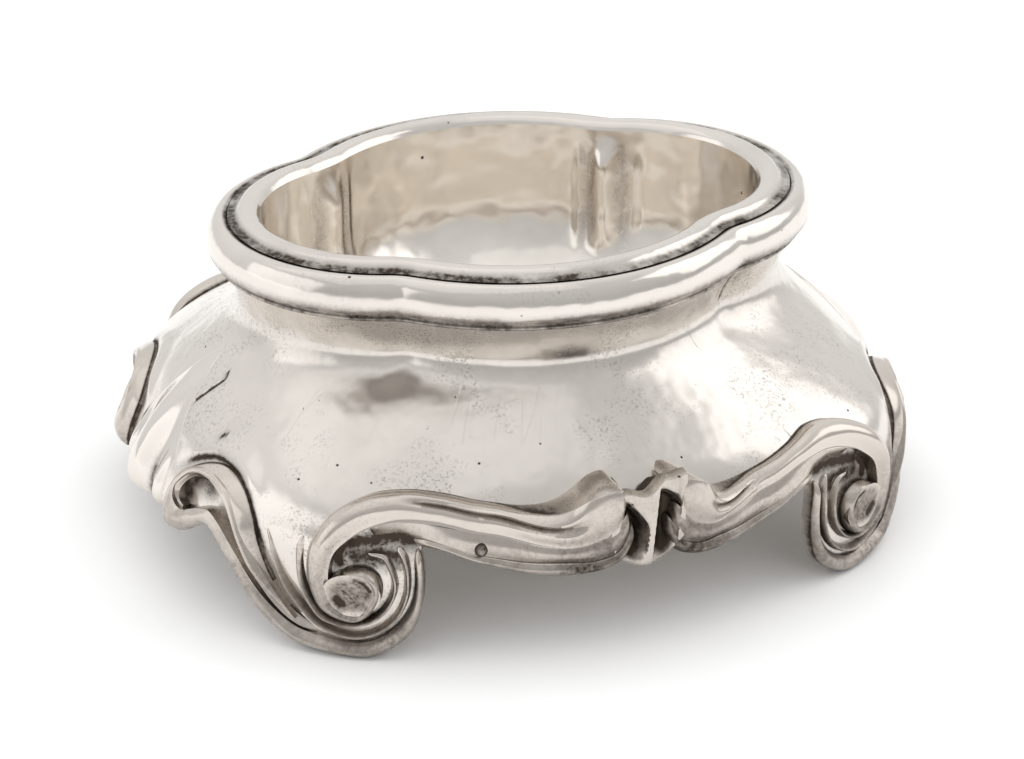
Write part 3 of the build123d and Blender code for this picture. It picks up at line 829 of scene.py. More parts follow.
        # speckled tarnish and painted reflection of the collar's underside, growing towards the top of the
        # neck
        neck = self.neck_tarnish_and_shade * ease(z, *self.neck_rise)
        grime_and_shade = np.maximum(bell(gap, 0.0, self.arch_groove) * fade, neck)
        for mark in marks:
            gap = beside(s, z, mark.line)[0]
            trace = bell(gap, 0.0, mark.width)
            swell = swell - mark.depth * trace
            grime_and_shade = np.maximum(grime_and_shade, mark.grime_and_shade * trace)
        sheets = [form.on_body(s, z, swell), form.on_body(s, z, -form.body_wall)]
        section = np.concatenate([sheets[0], sheets[1][:, ::-1]], axis=1)
        held = np.concatenate([grime_and_shade, np.zeros_like(grime_and_shade)], axis=1)
        return grid(section, held, False, True)


# Scrolls


@dataclass(frozen=True)
class Strand:
    """One strand of a scroll, drawn on the flat border by its two edges.

    Each rung is outer s, outer z, inner s, inner z, then how proud the outer edge, the middle and the
    inner edge stand. Dirt is the darkening along the outer and inner edges, and a flank is steep at a power
    below 1 and dies away softly at 2. A groove, broad where it starts, runs between two shares of the
    length, and the outer wall leans up behind the first share. Ends are the lengths over which its
    start and finish close in a round, and a stain darkens it all over. Tones darken it low on the foot,
    partly dirt and partly painted shade, and beside the clasp, in the groove and at the back.
    """

    rungs: tuple[tuple[float, ...], ...]
    dirt: Flat = (1.0, 1.0)
    groove: Flat = (0.0, 0.0)
    groove_depth: float = 0.6
    groove_place: float = -0.12
    groove_width: Flat = (0.15, 0.28)
    lean: Flat = (0.0, 0.1)
    flanks: Flat = (0.7, 0.7)
    ends: Flat = (0.0, 0.0)
    sunk: float = -0.45
    let_in: float = 0.7
    stain: float = 0.0
    edge: float = 0.14
    # darker low down: partly dirt on the feet, partly painted shade under the scroll
    low_shade_tone: float = 0.52
    foot_rise: Flat = (5.0, 17.5)
    clasp_tone: float = 0.28
    clasp_reach: Flat = (4.0, 10.0)
    groove_tone: float = 0.6
    back_tone: float = 0.12

    @staticmethod
    def along(
        knots: Sequence[Knot], low: float, high: float, fade: Flat = (0.0, 0.0), **sizes: object,
    ) -> "Strand":
        """A round strand from its middle line, as s, z and width.

        Args:
            knots: Middle line and width.
            low: How proud the edges stand.
            high: How proud the crest stands.
            fade: Shares of the length over which it rises at its start and sinks at its end.
            sizes: Other fields.

        Returns:
            The strand.
        """
        line = np.asarray(knots, float)
        gaps = np.concatenate([[0], np.cumsum(np.linalg.norm(np.diff(line[:, :2], axis=0), axis=1))])
        way = np.gradient(line[:, :2], gaps, axis=0)
        way /= np.linalg.norm(way, axis=1, keepdims=True)
        side = np.stack([-way[:, 1], way[:, 0]], axis=1) * line[:, 2:] / 2
        share = gaps / gaps[-1]
        full = ease(share, 0.0, fade[0]) if fade[0] else np.ones_like(share)
        full = full * (ease(1 - share, 0.0, fade[1]) if fade[1] else 1.0)
        crest = low + (high - low) * full
        heights = np.stack([np.full_like(share, low), crest, np.full_like(share, low)], axis=1)
        rungs = np.concatenate([line[:, :2] + side, line[:, :2] - side, heights], axis=1)
        return Strand(tuple(map(tuple, rungs)), **sizes)

    def shape(self, form: Form, spacing: float = 0.2, across: int = 25) -> Shape:
        """Mesh of the strand, let into the body behind it.

        Args:
            form: The salt's form.
            spacing: Distance between sections.
            across: Points across the face.

        Returns:
            A closed shape.
        """
        rungs = np.asarray(self.rungs, float)
        middle = (rungs[:, :2] + rungs[:, 2:4]) / 2
        length = np.linalg.norm(np.diff(middle, axis=0), axis=1).sum()
        count = max(int(length / spacing), 12)
        lines = smooth(np.concatenate([middle, rungs[:, :2] - middle, rungs[:, 4:]], axis=1), count)
        share = np.linspace(0, 1, count)[:, None]
        full = np.ones((count, 1))
        for reach, gap in zip(self.ends, (share * length, (1 - share) * length)):
            if reach:
                full = full * np.sqrt(1 - np.clip(1 - gap / reach, 0, 1) ** 2)
        lines[:, 2:4] *= np.maximum(full, 0.08)
        v = -np.cos(np.linspace(0, np.pi, across))[None, :]
        s = lines[:, None, 0] - lines[:, None, 2] * v
        z = lines[:, None, 1] - lines[:, None, 3] * v
        outer, crest, inner = (lines[:, None, i] for i in (4, 5, 6))
        level = outer + (inner - outer) * (v + 1) / 2
        bulge = np.clip(1 - v**2, 0, 1) ** np.where(v < 0, *self.flanks)
        proud = level + (crest - (outer + inner) / 2) * bulge
        proud = self.sunk + (proud - self.sunk) * full
        start, stop = self.groove
        cut = 0.0
        if stop > start:
            slim, broad = self.groove_width
            width = broad + (slim - broad) * ease(share, start + 0.03, start + 0.1)
            cut = bell(v, self.groove_place, width) * ease(share, start, start + 0.05)
            cut = cut * (1 - ease(share, stop - 0.06, stop))
            proud = proud - self.groove_depth * cut
        face = form.relief(s, z, proud)
        rise = self.lean[0] * (1 - ease(share[:, 0], self.lean[1] * 0.6, self.lean[1]))
        ends = np.stack([z[:, -1], z[:, 0] + rise], axis=1)
        back = form.on_body(s[:, [-1, 0]], ends, -form.body_wall * self.let_in)
        edge = np.clip((np.abs(v) - 1 + self.edge) / self.edge, 0, 1) ** 1.5 * np.where(v < 0, *self.dirt)
        if self.lean[0]:
            edge = edge * (0.25 + 0.75 * ease(share, self.lean[1] * 0.8, self.lean[1] * 1.3))
        # darker low down, partly dirt and partly painted shade; and darker beside the clasp
        low = self.low_shade_tone * (1 - ease(z, *self.foot_rise))
        low = low + self.clasp_tone * (1 - ease(s, *self.clasp_reach))
        grime_and_shade = np.maximum(np.maximum(edge, self.groove_tone * cut), low + self.stain)
        held = np.concatenate([grime_and_shade, np.full((count, 2), self.back_tone)], axis=1)
        return grid(np.concatenate([face, back], axis=1), held, False, True, caps=True)


# each quarter, and whether it is on the left and at the back
QUARTERS = (
    ("front_right", False, False),
    ("front_left", True, False),
    ("back_right", False, True),
    ("back_left", True, True),
)

SIDE_STRANDS = (
    # main round: ear by the clasp, run, arch, volute, eye's edge
    Strand(
        (
            (2.2, 18.7, 2.4, 17.2, 1.2, 1.6, 1.4), (3.2, 19.2, 3.0, 15.7, 1.6, 2.0, 1.5),
            (4.7, 19.1, 4.2, 14.3, 1.7, 2.1, 1.5), (6.1, 18.5, 5.8, 13.6, 1.35, 2.1, 1.5),
            (7.5, 17.2, 7.6, 13.3, 0.55, 2.0, 1.45), (9.2, 16.6, 9.3, 13.5, 0.3, 1.9, 1.4),
            (12.0, 16.5, 12.4, 13.9, 0.3, 1.8, 1.4), (16.5, 17.0, 16.8, 14.4, 0.3, 1.7, 1.3),
            (21.0, 17.7, 21.0, 15.2, 0.3, 1.7, 1.2), (25.5, 18.0, 25.4, 15.5, 0.3, 1.8, 1.0),
            (29.3, 17.6, 28.4, 14.9, 0.3, 1.9, 0.8), (32.2, 16.2, 30.1, 13.9, 0.3, 1.9, 0.8),
            (33.9, 13.6, 31.3, 12.7, 0.3, 1.9, 0.9), (34.4, 11.1, 31.8, 11.2, 0.3, 1.9, 1.0),
            (34.2, 8.4, 31.9, 8.9, 0.3, 1.85, 1.2), (33.1, 5.9, 31.6, 7.3, 0.3, 1.75, 1.2),
            (31.1, 4.75, 30.5, 6.3, 0.3, 1.65, 1.2), (29.2, 4.65, 29.2, 5.9, 0.3, 1.6, 1.3),
            (27.4, 6.0, 28.2, 6.9, 0.3, 1.6, 1.35), (26.5, 8.4, 27.5, 8.5, 0.3, 1.6, 1.35),
            (26.9, 10.2, 27.8, 9.6, 0.3, 1.6, 1.35), (28.2, 11.1, 28.6, 10.4, 0.3, 1.5, 1.35),
            (29.8, 11.0, 29.7, 10.5, 0.4, 1.4, 1.3), (30.7, 10.6, 30.5, 10.3, 0.6, 1.2, 1.1),
        ),
        dirt=(0.9, 0.1), groove=(0.09, 0.44), lean=(-0.8, 0.16), flanks=(0.7, 2.0), ends=(1.7, 0.6),
    ),
    # soft band under it, dying into the dark of the volute
    Strand(
        (
            (2.3, 17.0, 1.9, 15.2, 1.25, 1.5, 1.1), (2.9, 15.8, 2.4, 13.4, 1.3, 1.58, 1.1),
            (4.1, 14.4, 3.4, 11.9, 1.32, 1.62, 1.1), (5.7, 13.7, 5.3, 11.3, 1.32, 1.62, 1.1),
            (8.2, 13.4, 8.2, 11.5, 1.32, 1.6, 1.1), (12.2, 13.9, 12.1, 11.6, 1.3, 1.5, 1.05),
            (16.6, 14.45, 16.5, 12.4, 1.22, 1.35, 1.0), (19.6, 14.95, 19.5, 13.4, 1.15, 1.05, 0.95),
            (22.2, 15.35, 21.6, 13.8, 1.1, 0.7, 0.4), (24.0, 15.5, 23.2, 14.1, 1.0, 0.25, -0.5),
            (26.0, 15.5, 25.0, 14.6, 0.9, 0.1, -0.6), (28.2, 15.0, 27.6, 14.4, 0.7, -0.1, -0.6),
        ),
        dirt=(0.85, 0.35), flanks=(2.0, 2.0), ends=(1.6, 0.5), stain=0.15,
    ),
    # lower edge of the band
    Strand(
        (
            (1.9, 15.2, 1.4, 14.5, 1.1, 1.2, 0.4), (2.4, 13.4, 1.6, 12.6, 1.15, 1.3, 0.3),
            (3.4, 11.9, 2.6, 10.7, 1.2, 1.4, 0.2), (5.3, 11.3, 4.4, 9.75, 1.2, 1.45, 0.1),
            (8.2, 11.5, 8.6, 9.5, 1.2, 1.45, 0.1), (12.1, 11.6, 12.3, 9.9, 1.15, 1.4, 0.1),
            (16.5, 12.4, 16.7, 11.2, 1.05, 1.25, 0.1), (19.5, 13.4, 19.8, 12.6, 0.95, 1.1, 0.2),
            (21.2, 13.8, 21.4, 13.1, 0.7, 0.75, 0.1), (22.3, 14.0, 22.4, 13.2, 0.3, 0.2, -0.3),
            (23.4, 14.0, 23.4, 13.2, -0.6, -0.8, -0.9),
        ),
        dirt=(0.1, 0.4), flanks=(2.0, 0.7), ends=(1.8, 0.0), stain=0.2,
    ),
    # bead that borders the volute
    Strand.along(
        (
            (33.6, 16.4, 0.8), (34.6, 14.8, 1.1), (35.2, 12.8, 1.3), (35.4, 10.8, 1.2), (35.1, 8.5, 1.1),
            (34.1, 6.3, 1.0), (32.8, 4.7, 0.9), (29.9, 4.2, 0.9), (27.4, 5.1, 0.9), (25.7, 7.1, 0.9),
            (25.2, 9.2, 0.9), (25.6, 10.8, 0.8), (26.3, 12.0, 0.7), (28.0, 12.4, 0.5),
        ),
        low=-0.2, high=1.05, fade=(0.42, 0.2), dirt=(0.8, 0.8), flanks=(1.3, 1.3), ends=(0.0, 1.5),
    ),
)


def from_end(form: Form, knots: Sequence[Sequence[float]], pairs: int) -> tuple[tuple[float, ...], ...]:
    """Turns knots measured from the end centre into knots measured from the front centre.

    Args:
        form: The salt's form.
        knots: Rows that start with pairs of t and z.
        pairs: Number of such pairs.

    Returns:
        The same rows with s in place of t.
    """
    rows = np.array(knots, float)
    rows[:, 0:2 * pairs:2] = form.border - rows[:, 0:2 * pairs:2]
    return tuple(map(tuple, rows))


@dataclass
class SideScroll:
    """S-scroll on half of a long side, from the clasp to the foot's volute.

    The clasp sits a little to one side, so that the ears beside it are drawn along the border.
    """

    form: Form
    short: float = 1.3
    long: float = -0.9
    reach: Flat = (3.0, 11.0)
    slimmer: float = 0.8
    slim_from: Flat = (5.0, 9.0)
    slim_to: Flat = (19.0, 27.0)
    short_groove: float = 0.27

    def build(self, finish: bpy.types.Material) -> None:
        """Makes the four scrolls."""
        for side, left, back in QUARTERS:
            strands = [self._drawn(strand, left == back) for strand in SIDE_STRANDS]
            shapes = [strand.shape(self.form) for strand in strands]
            shape = shapes[0]
            for other in shapes[1:]:
                shape = shape.plus(other)
            add_piece(f"s_scroll_{side}", f"scroll_{side}", shape.mirrored(left, back), finish)

    def _drawn(self, strand: Strand, short: bool) -> Strand:
        """The strand with its ear moved along the border; a short one is slimmer, its groove shorter."""
        rungs = np.asarray(strand.rungs, float)
        shift = self.short if short else self.long
        for column in (0, 2):
            rungs[:, column] += shift * (1 - ease(rungs[:, column], *self.reach))
        groove = strand.groove
        if short and groove[1] > groove[0]:
            slim = ease(rungs[:, 0], *self.slim_from) * (1 - ease(rungs[:, 0], *self.slim_to))
            rungs[:, 1] -= self.slimmer * slim
            groove = (groove[0], self.short_groove)
        return replace(strand, rungs=tuple(map(tuple, rungs)), groove=groove)


@dataclass
class EndScroll:
    """C-scroll on half of an end: hook by the clasp, fall to the foot and sole under the volute.

    Its lines are measured from the end centre.
    """

    form: Form
    loop: tuple[tuple[float, ...], ...] = (
        (31.8, 2.5, 31.5, 1.9, -0.4, -0.2, -0.2), (29.2, 3.9, 28.6, 3.1, 0.1, 0.4, 0.5),
        (27.1, 5.8, 26.3, 5.1, 0.3, 0.8, 0.9), (25.8, 7.7, 24.8, 7.2, 0.3, 1.0, 1.2),
        (24.9, 9.4, 23.6, 9.0, 0.3, 1.1, 1.5), (24.1, 11.5, 22.5, 11.0, 0.3, 1.2, 1.6),
        (23.3, 13.8, 21.5, 12.7, 0.3, 1.2, 1.6), (21.9, 15.1, 20.4, 13.8, 0.3, 1.2, 1.6),
        (20.3, 15.9, 19.2, 14.4, 0.3, 1.2, 1.6), (18.6, 16.4, 17.8, 14.8, 0.3, 1.2, 1.6),
        (16.8, 16.6, 16.1, 15.1, 0.3, 1.2, 1.6), (15.0, 16.45, 14.0, 14.95, 0.3, 1.2, 1.6),
        (12.9, 15.85, 12.4, 14.3, 0.3, 1.2, 1.6), (10.9, 14.8, 11.4, 13.4, 0.3, 1.2, 1.6),
        (9.2, 13.6, 10.9, 12.6, 0.3, 1.2, 1.6), (8.4, 12.0, 11.0, 11.8, 0.3, 1.3, 1.6),
        (8.2, 10.4, 11.5, 11.25, 0.3, 1.5, 1.5), (8.4, 9.0, 12.2, 11.0, 0.3, 1.7, 1.4),
        (9.4, 8.1, 12.9, 11.1, 0.3, 1.8, 1.4), (11.0, 8.0, 13.7, 11.5, 0.3, 1.8, 1.4),
        (12.6, 8.7, 14.7, 11.95, 0.3, 1.7, 1.4), (14.2, 9.7, 15.8, 12.35, 0.3, 1.7, 1.4),
        (15.6, 10.3, 17.0, 12.55, 0.3, 1.6, 1.4), (16.9, 9.7, 18.3, 12.1, 0.3, 1.6, 1.4),
        (18.5, 8.1, 19.6, 11.0, 0.3, 1.6, 1.3), (21.0, 5.75, 21.9, 8.9, 0.3, 1.5, 1.2),
        (23.7, 3.5, 24.4, 6.2, 0.3, 1.5, 1.1), (26.5, 1.7, 26.6, 4.1, 0.3, 1.4, 0.8),
        (28.7, 0.8, 28.6, 2.8, 0.3, 1.4, 0.6), (32.2, 0.35, 32.0, 2.0, 0.3, 1.3, 0.4),
        (36.3, 0.2, 35.6, 1.8, 0.3, 1.3, 0.4), (38.7, 1.2, 37.6, 2.5, 0.3, 1.3, 0.4),
        (40.9, 3.1, 39.6, 4.1, 0.3, 1.3, 0.4), (42.1, 5.9, 41.0, 6.4, 0.3, 1.2, 0.4),
        (42.5, 8.9, 41.5, 9.0, 0.3, 1.1, 0.4), (42.4, 11.3, 41.5, 11.3, 0.3, 1.0, 0.4),
        (42.2, 13.2, 41.4, 12.9, 0.2, 0.7, 0.4),
    )
    bead: tuple[Knot, ...] = (
        (28.6, 3.8, 0.5), (27.2, 5.3, 0.7), (25.6, 7.3, 0.8), (24.1, 9.2, 0.9), (22.9, 11.2, 0.9),
        (21.9, 12.9, 0.9), (20.8, 14.0, 0.9), (19.4, 14.8, 0.9), (17.9, 15.2, 0.9), (16.1, 15.4, 0.9),
        (14.0, 15.2, 0.9), (12.2, 14.5, 0.9), (11.1, 13.4, 0.9), (10.7, 12.3, 0.9), (11.2, 11.3, 0.8),
        (12.2, 11.0, 0.6),
    )
    rim: tuple[Knot, ...] = (
        (22.6, 15.9, 0.3), (23.7, 15.1, 0.5), (24.9, 13.9, 0.7), (25.6, 12.5, 0.9), (26.3, 10.3, 0.9),
        (27.5, 7.9, 0.9), (29.1, 5.9, 0.9), (30.8, 4.0, 0.9), (33.1, 2.9, 0.9), (35.5, 2.7, 0.9),
        (37.8, 3.6, 0.9), (39.6, 5.3, 0.9), (40.6, 7.7, 0.9), (40.8, 9.8, 0.9), (40.6, 11.5, 0.9),
        (39.9, 13.2, 0.7),
    )

    def build(self, finish: bpy.types.Material) -> None:
        """Makes the four scrolls."""
        form = self.form
        loop = Strand(from_end(form, self.loop, 2), dirt=(0.9, 0.35), flanks=(0.7, 1.2), ends=(0.0, 1.8))
        bead = Strand.along(
            from_end(form, self.bead, 1),
            low=0.9, high=1.7, fade=(0.3, 0.12), dirt=(0.2, 0.3), flanks=(1.3, 1.3),
        )
        rim = Strand.along(
            from_end(form, self.rim, 1),
            low=-0.2, high=0.95, fade=(0.4, 0.1), dirt=(0.6, 0.8), flanks=(1.3, 1.3), ends=(0.0, 1.4),
        )
        shape = loop.shape(form).plus(bead.shape(form)).plus(rim.shape(form))
        for side, left, back in QUARTERS:
            node = "end_scroll_{1}_{0}".format(*side.split("_"))
            add_piece("c_scroll_" + node[11:], node, shape.mirrored(left, back), finish)


def button(points: np.ndarray, grime_and_shade: np.ndarray) -> Shape:
    """Rings from the back to the middle of the face, closed at both."""
    shape = grid(points, grime_and_shade, True, False)
    rows, columns = points.shape[:2]
    for column in (0, columns - 1):
        shape.faces.append(tuple(i * columns + column for i in range(rows)))
    return shape


@dataclass
class Eye:
    """Dished button in the middle of a volute, running into the end of the scroll's round."""

    form: Form
    centre: Flat = (29.6, 8.25)
    radius: Flat = (2.9, 2.45)
    proud: float = 1.4
    dish: float = 0.25
    let_in: float = 0.6
    dish_tone: float = 0.5
    edge_tone: float = 0.1
    stains: tuple[Mark, ...] = (
        Mark(((31.2, 7.6), (30.6, 7.0)), 0.7, 0.2, 1.0),
        Mark(((29.2, 10.0), (28.3, 9.6), (27.8, 8.8)), 0.4, 0.1, 0.9),
    )

    def build(self, finish: bpy.types.Material) -> None:
        """Makes the four eyes."""
        turn = np.linspace(0, 2 * np.pi, 72, endpoint=False)
        share = np.linspace(1, 0.02, 26)
        s = self.centre[0] + self.radius[0] * share[None, :] * np.cos(turn)[:, None]
        z = self.centre[1] + self.radius[1] * share[None, :] * np.sin(turn)[:, None]
        proud = self.proud - self.dish * (1 - share[None, :] ** 2) + 0 * s
        grime_and_shade = self.dish_tone * (1 - ease(share[None, :], 0.6, 1.0)) + self.edge_tone + 0 * s
        for stain in self.stains:
            trace = bell(beside(s, z, stain.line)[0], 0.0, stain.width)
            proud = proud - stain.depth * trace
            grime_and_shade = np.maximum(grime_and_shade, stain.grime_and_shade * trace)
        face = self.form.relief(s, z, proud)
        back = self.form.on_body(s[:, :1], z[:, :1], -self.form.body_wall * self.let_in)
        points = np.concatenate([back, face], axis=1)
        shape = button(points, np.concatenate([grime_and_shade[:, :1], grime_and_shade], axis=1))
        for side, left, behind in QUARTERS:
            turned = shape.mirrored(left, behind)
            add_piece(f"volute_eye_{side}", f"eye_{side}", turned, finish)


# Clasps


@dataclass
class FlutedClasp:
    """Upright clasp between two S-scrolls: a leaning ridge between two flutes, with a tongue below."""

    form: Form
    sides: Flat = (-3.4, 4.8)
    ridge_x: Flat = (0.6, 1.4)
    ridge_half: Flat = (0.75, 0.42)
    low_z: float = 9.6
    tongue: float = 0.12
    dip_z: float = 18.4
    right_rise: float = 1.6
    left_rise: float = 0.3
    under_round: Flat = (1.2, 1.3)
    crest_y: Flat = (39.8, 40.4)
    flute: float = 2.5
    flute_widths: Flat = (3.2, 3.0)
    ears: tuple[Knot, Knot] = ((18.0, -1.27, -1.85), (19.2, -0.7, 1.75))
    back_y: float = 35.4
    roof: tuple[Knot, ...] = ((0.0, 0.5, 0.14), (0.0, 1.5, 0.12), (0.0, 2.1, -0.2), (0.0, 2.4, -1.6))
    face_tone: float = 0.18
    under_tone: float = 0.3
    # top rows going back to the body painted darker: painted shadow in the gap behind the clasp's top
    roof_shadow_tones: tuple[float, ...] = (0.3, 0.4, 0.8, 1.0, 1.0)

    def build(self, finish: bpy.types.Material) -> None:
        """Makes the front clasp and its mirror image at the back."""
        share = np.linspace(0, 1, 60)[None, :]
        x = np.linspace(*self.sides, 121)[:, None]
        low = self.low_z + self.tongue * (x - self.ridge_x[0]) ** 2
        top = self.dip_z + self.right_rise * ease(x, 0.3, 2.3) + self.left_rise * ease(-x, 0.0, 1.5)
        z = low + (top - low) * share
        middle = self.ridge_x[0] + (self.ridge_x[1] - self.ridge_x[0]) * share
        half = self.ridge_half[0] + (self.ridge_half[1] - self.ridge_half[0]) * share
        crest = self.crest_y[0] + (self.crest_y[1] - self.crest_y[0]) * share
        hollow, aside = 0.0, 0.0
        for way, width, (ear_z, slope, ear_x) in zip((-1, 1), self.flute_widths, self.ears):
            place = np.clip((way * (x - middle) - half * 0.5) / width, 0, 1)
            below_ear = ease(ear_z + slope * (x - ear_x) - z, -0.4, 1.4)
            hollow = np.maximum(hollow, np.sin(np.pi * place) ** 0.8 * below_ear)
            aside = np.maximum(aside, place)
        deep = 0.15 + 0.85 * ease(z - low, 0.3, 3.2)
        out = crest - self.flute * hollow * deep - 0.5 * ease(aside, 0.5, 1.0)
        under = np.clip(1 - (z - low) / self.under_round[0], 0, 1)
        out = out - self.under_round[1] * (1 - np.sqrt(1 - under**2 * 0.98))
        face = np.stack(np.broadcast_arrays(x, -out, z), axis=-1)
        roof = [face[:, -1:] + np.array(step) for step in self.roof]
        behind, below = face[:, -1:].copy(), face[:, :1].copy()
        behind[..., 1] = below[..., 1] = -self.back_y
        behind[..., 2] -= 2.0
        below[..., 2] += 0.6
        points = np.concatenate([below, face, *roof, behind], axis=1)
        dark = np.clip(1.2 * hollow * (0.35 + 0.65 * ease(z - low, 0.2, 2.4)), 0, 1)
        # rows of the top painted darker towards the back: painted shadow in the gap behind the clasp
        sole, *above = (np.full((len(x), 1), tone) for tone in (self.under_tone, *self.roof_shadow_tones))
        held = np.concatenate([sole, np.maximum(dark, self.face_tone), *above], axis=1)
        shape = grid(points, held, False, True, caps=True)
        add_piece("fluted_clasp_front", "clasp_front", shape, finish)
        add_piece("fluted_clasp_back", "clasp_back", shape.mirrored(True, True), finish)


@dataclass
class SwelledClasp:
    """Clasp at an end: a broad swelling that grows out of the body, with a thin ridge each side.

    The profile is height and how proud the swelling stands of the body.
    """

    form: Form
    half_width: float = 7.4
    swell_width: float = 2.5
    ridge_place: float = 5.1
    ridge_width: float = 0.75
    ridge_proud: float = 0.7
    ridge_top: Flat = (11.0, 16.0)
    sunk: float = 1.2
    low_z: float = 7.2
    low_curve: float = 1.2
    shoulder_fall: float = 12.0
    round_z: float = 2.4
    round_back: float = 1.6
    edge_sunk: float = 0.5
    groove_at: Flat = (3.5, 0.5)
    groove_top: Flat = (11.0, 15.0)
    groove_tone: float = 0.8
    edge_at: Flat = (5.9, 6.8)
    edge_top: Flat = (13.0, 15.5)
    edge_tone: float = 0.5
    under_tone: float = 0.25
    profile: tuple[Flat, ...] = (
        (7.2, 1.5), (9.5, 1.75), (11.0, 1.9), (13.0, 1.95), (15.0, 1.8), (17.0, 1.35), (20.0, 0.65),
        (23.0, 0.12), (24.5, 0.0),
    )

    def build(self, finish: bpy.types.Material) -> None:
        """Makes the right clasp and its mirror image."""
        form = self.form
        share = np.linspace(0, 1, 80)[None, :] ** 1.3
        t = np.linspace(-self.half_width, self.half_width, 101)[:, None]
        low = self.low_z + self.low_curve * (np.abs(t) / self.half_width) ** 2
        top = self.profile[-1][0] - self.shoulder_fall * (np.abs(t) / self.half_width) ** 1.2
        z = low + (top - low) * share
        curve = smooth(self.profile, 60)
        height = np.interp(z, curve[:, 0], curve[:, 1])
        swelling = np.exp(-((np.abs(t) / self.swell_width) ** 2.4))
        ridge = bell(np.abs(t), self.ridge_place, self.ridge_width) * (1 - ease(z, *self.ridge_top))
        proud = height * swelling + self.ridge_proud * ridge
        under = np.clip((low + self.round_z - z) / self.round_z, 0, 1)
        proud = proud - (self.round_back + height * swelling) * (1 - np.sqrt(1 - under**2 * 0.985))
        border = ease(np.abs(t), self.half_width - 1.2, self.half_width) + ease(share, 0.93, 1.0)
        proud = proud - self.edge_sunk * border
        face = form.on_body(form.border - np.abs(t), z, proud)
        back = form.on_body(form.border - np.abs(t), z, -self.sunk)
        for sheet in (face, back):
            sheet[..., 1] = np.sign(t) * -sheet[..., 1]
        points = np.concatenate([face, back[:, ::-1]], axis=1)
        grime_and_shade = self.groove_tone * bell(np.abs(t), *self.groove_at) * (1 - ease(z, *self.groove_top))
        edge = self.edge_tone * ease(np.abs(t), *self.edge_at) * (1 - ease(z, *self.edge_top))
        grime_and_shade = np.maximum(np.maximum(grime_and_shade, edge), self.under_tone * ease(under, 0.3, 1.0))
        held = np.concatenate([grime_and_shade, np.zeros_like(grime_and_shade)], axis=1)
        shape = grid(points, held, False, True, caps=True)
        add_piece("swelled_clasp_right", "clasp_right", shape, finish)
        add_piece("swelled_clasp_left", "clasp_left", shape.mirrored(True, False), finish)


@dataclass
class CastingPlug:
    """Small round plug in the band of the front left scroll."""

    form: Form
    place: Flat = (16.4, 13.05)
    radius: float = 0.68
    proud: float = 1.42

    def build(self, finish: bpy.types.Material) -> None:
        """Makes the plug."""
        turn = np.linspace(0, 2 * np.pi, 32, endpoint=False)
        share = np.array([1.0, 1.0, 0.9, 0.7, 0.4, 0.05])
        proud = np.array([0.0, 0.93, 0.98, 1.0, 1.0, 1.0]) * self.proud
        s = self.place[0] + self.radius * share[None, :] * np.cos(turn)[:, None]
        z = self.place[1] + self.radius * share[None, :] * np.sin(turn)[:, None]
        points = self.form.relief(s, z, proud[None, :] + 0 * s)
        grime_and_shade = np.array([1, 1, 1, 0.75, 0.7, 0.7])
        shape = button(points, np.broadcast_to(grime_and_shade, points.shape[:2]))
        add_piece("scroll_plug", "casting_plug", shape.mirrored(True, False), finish)


# Studio


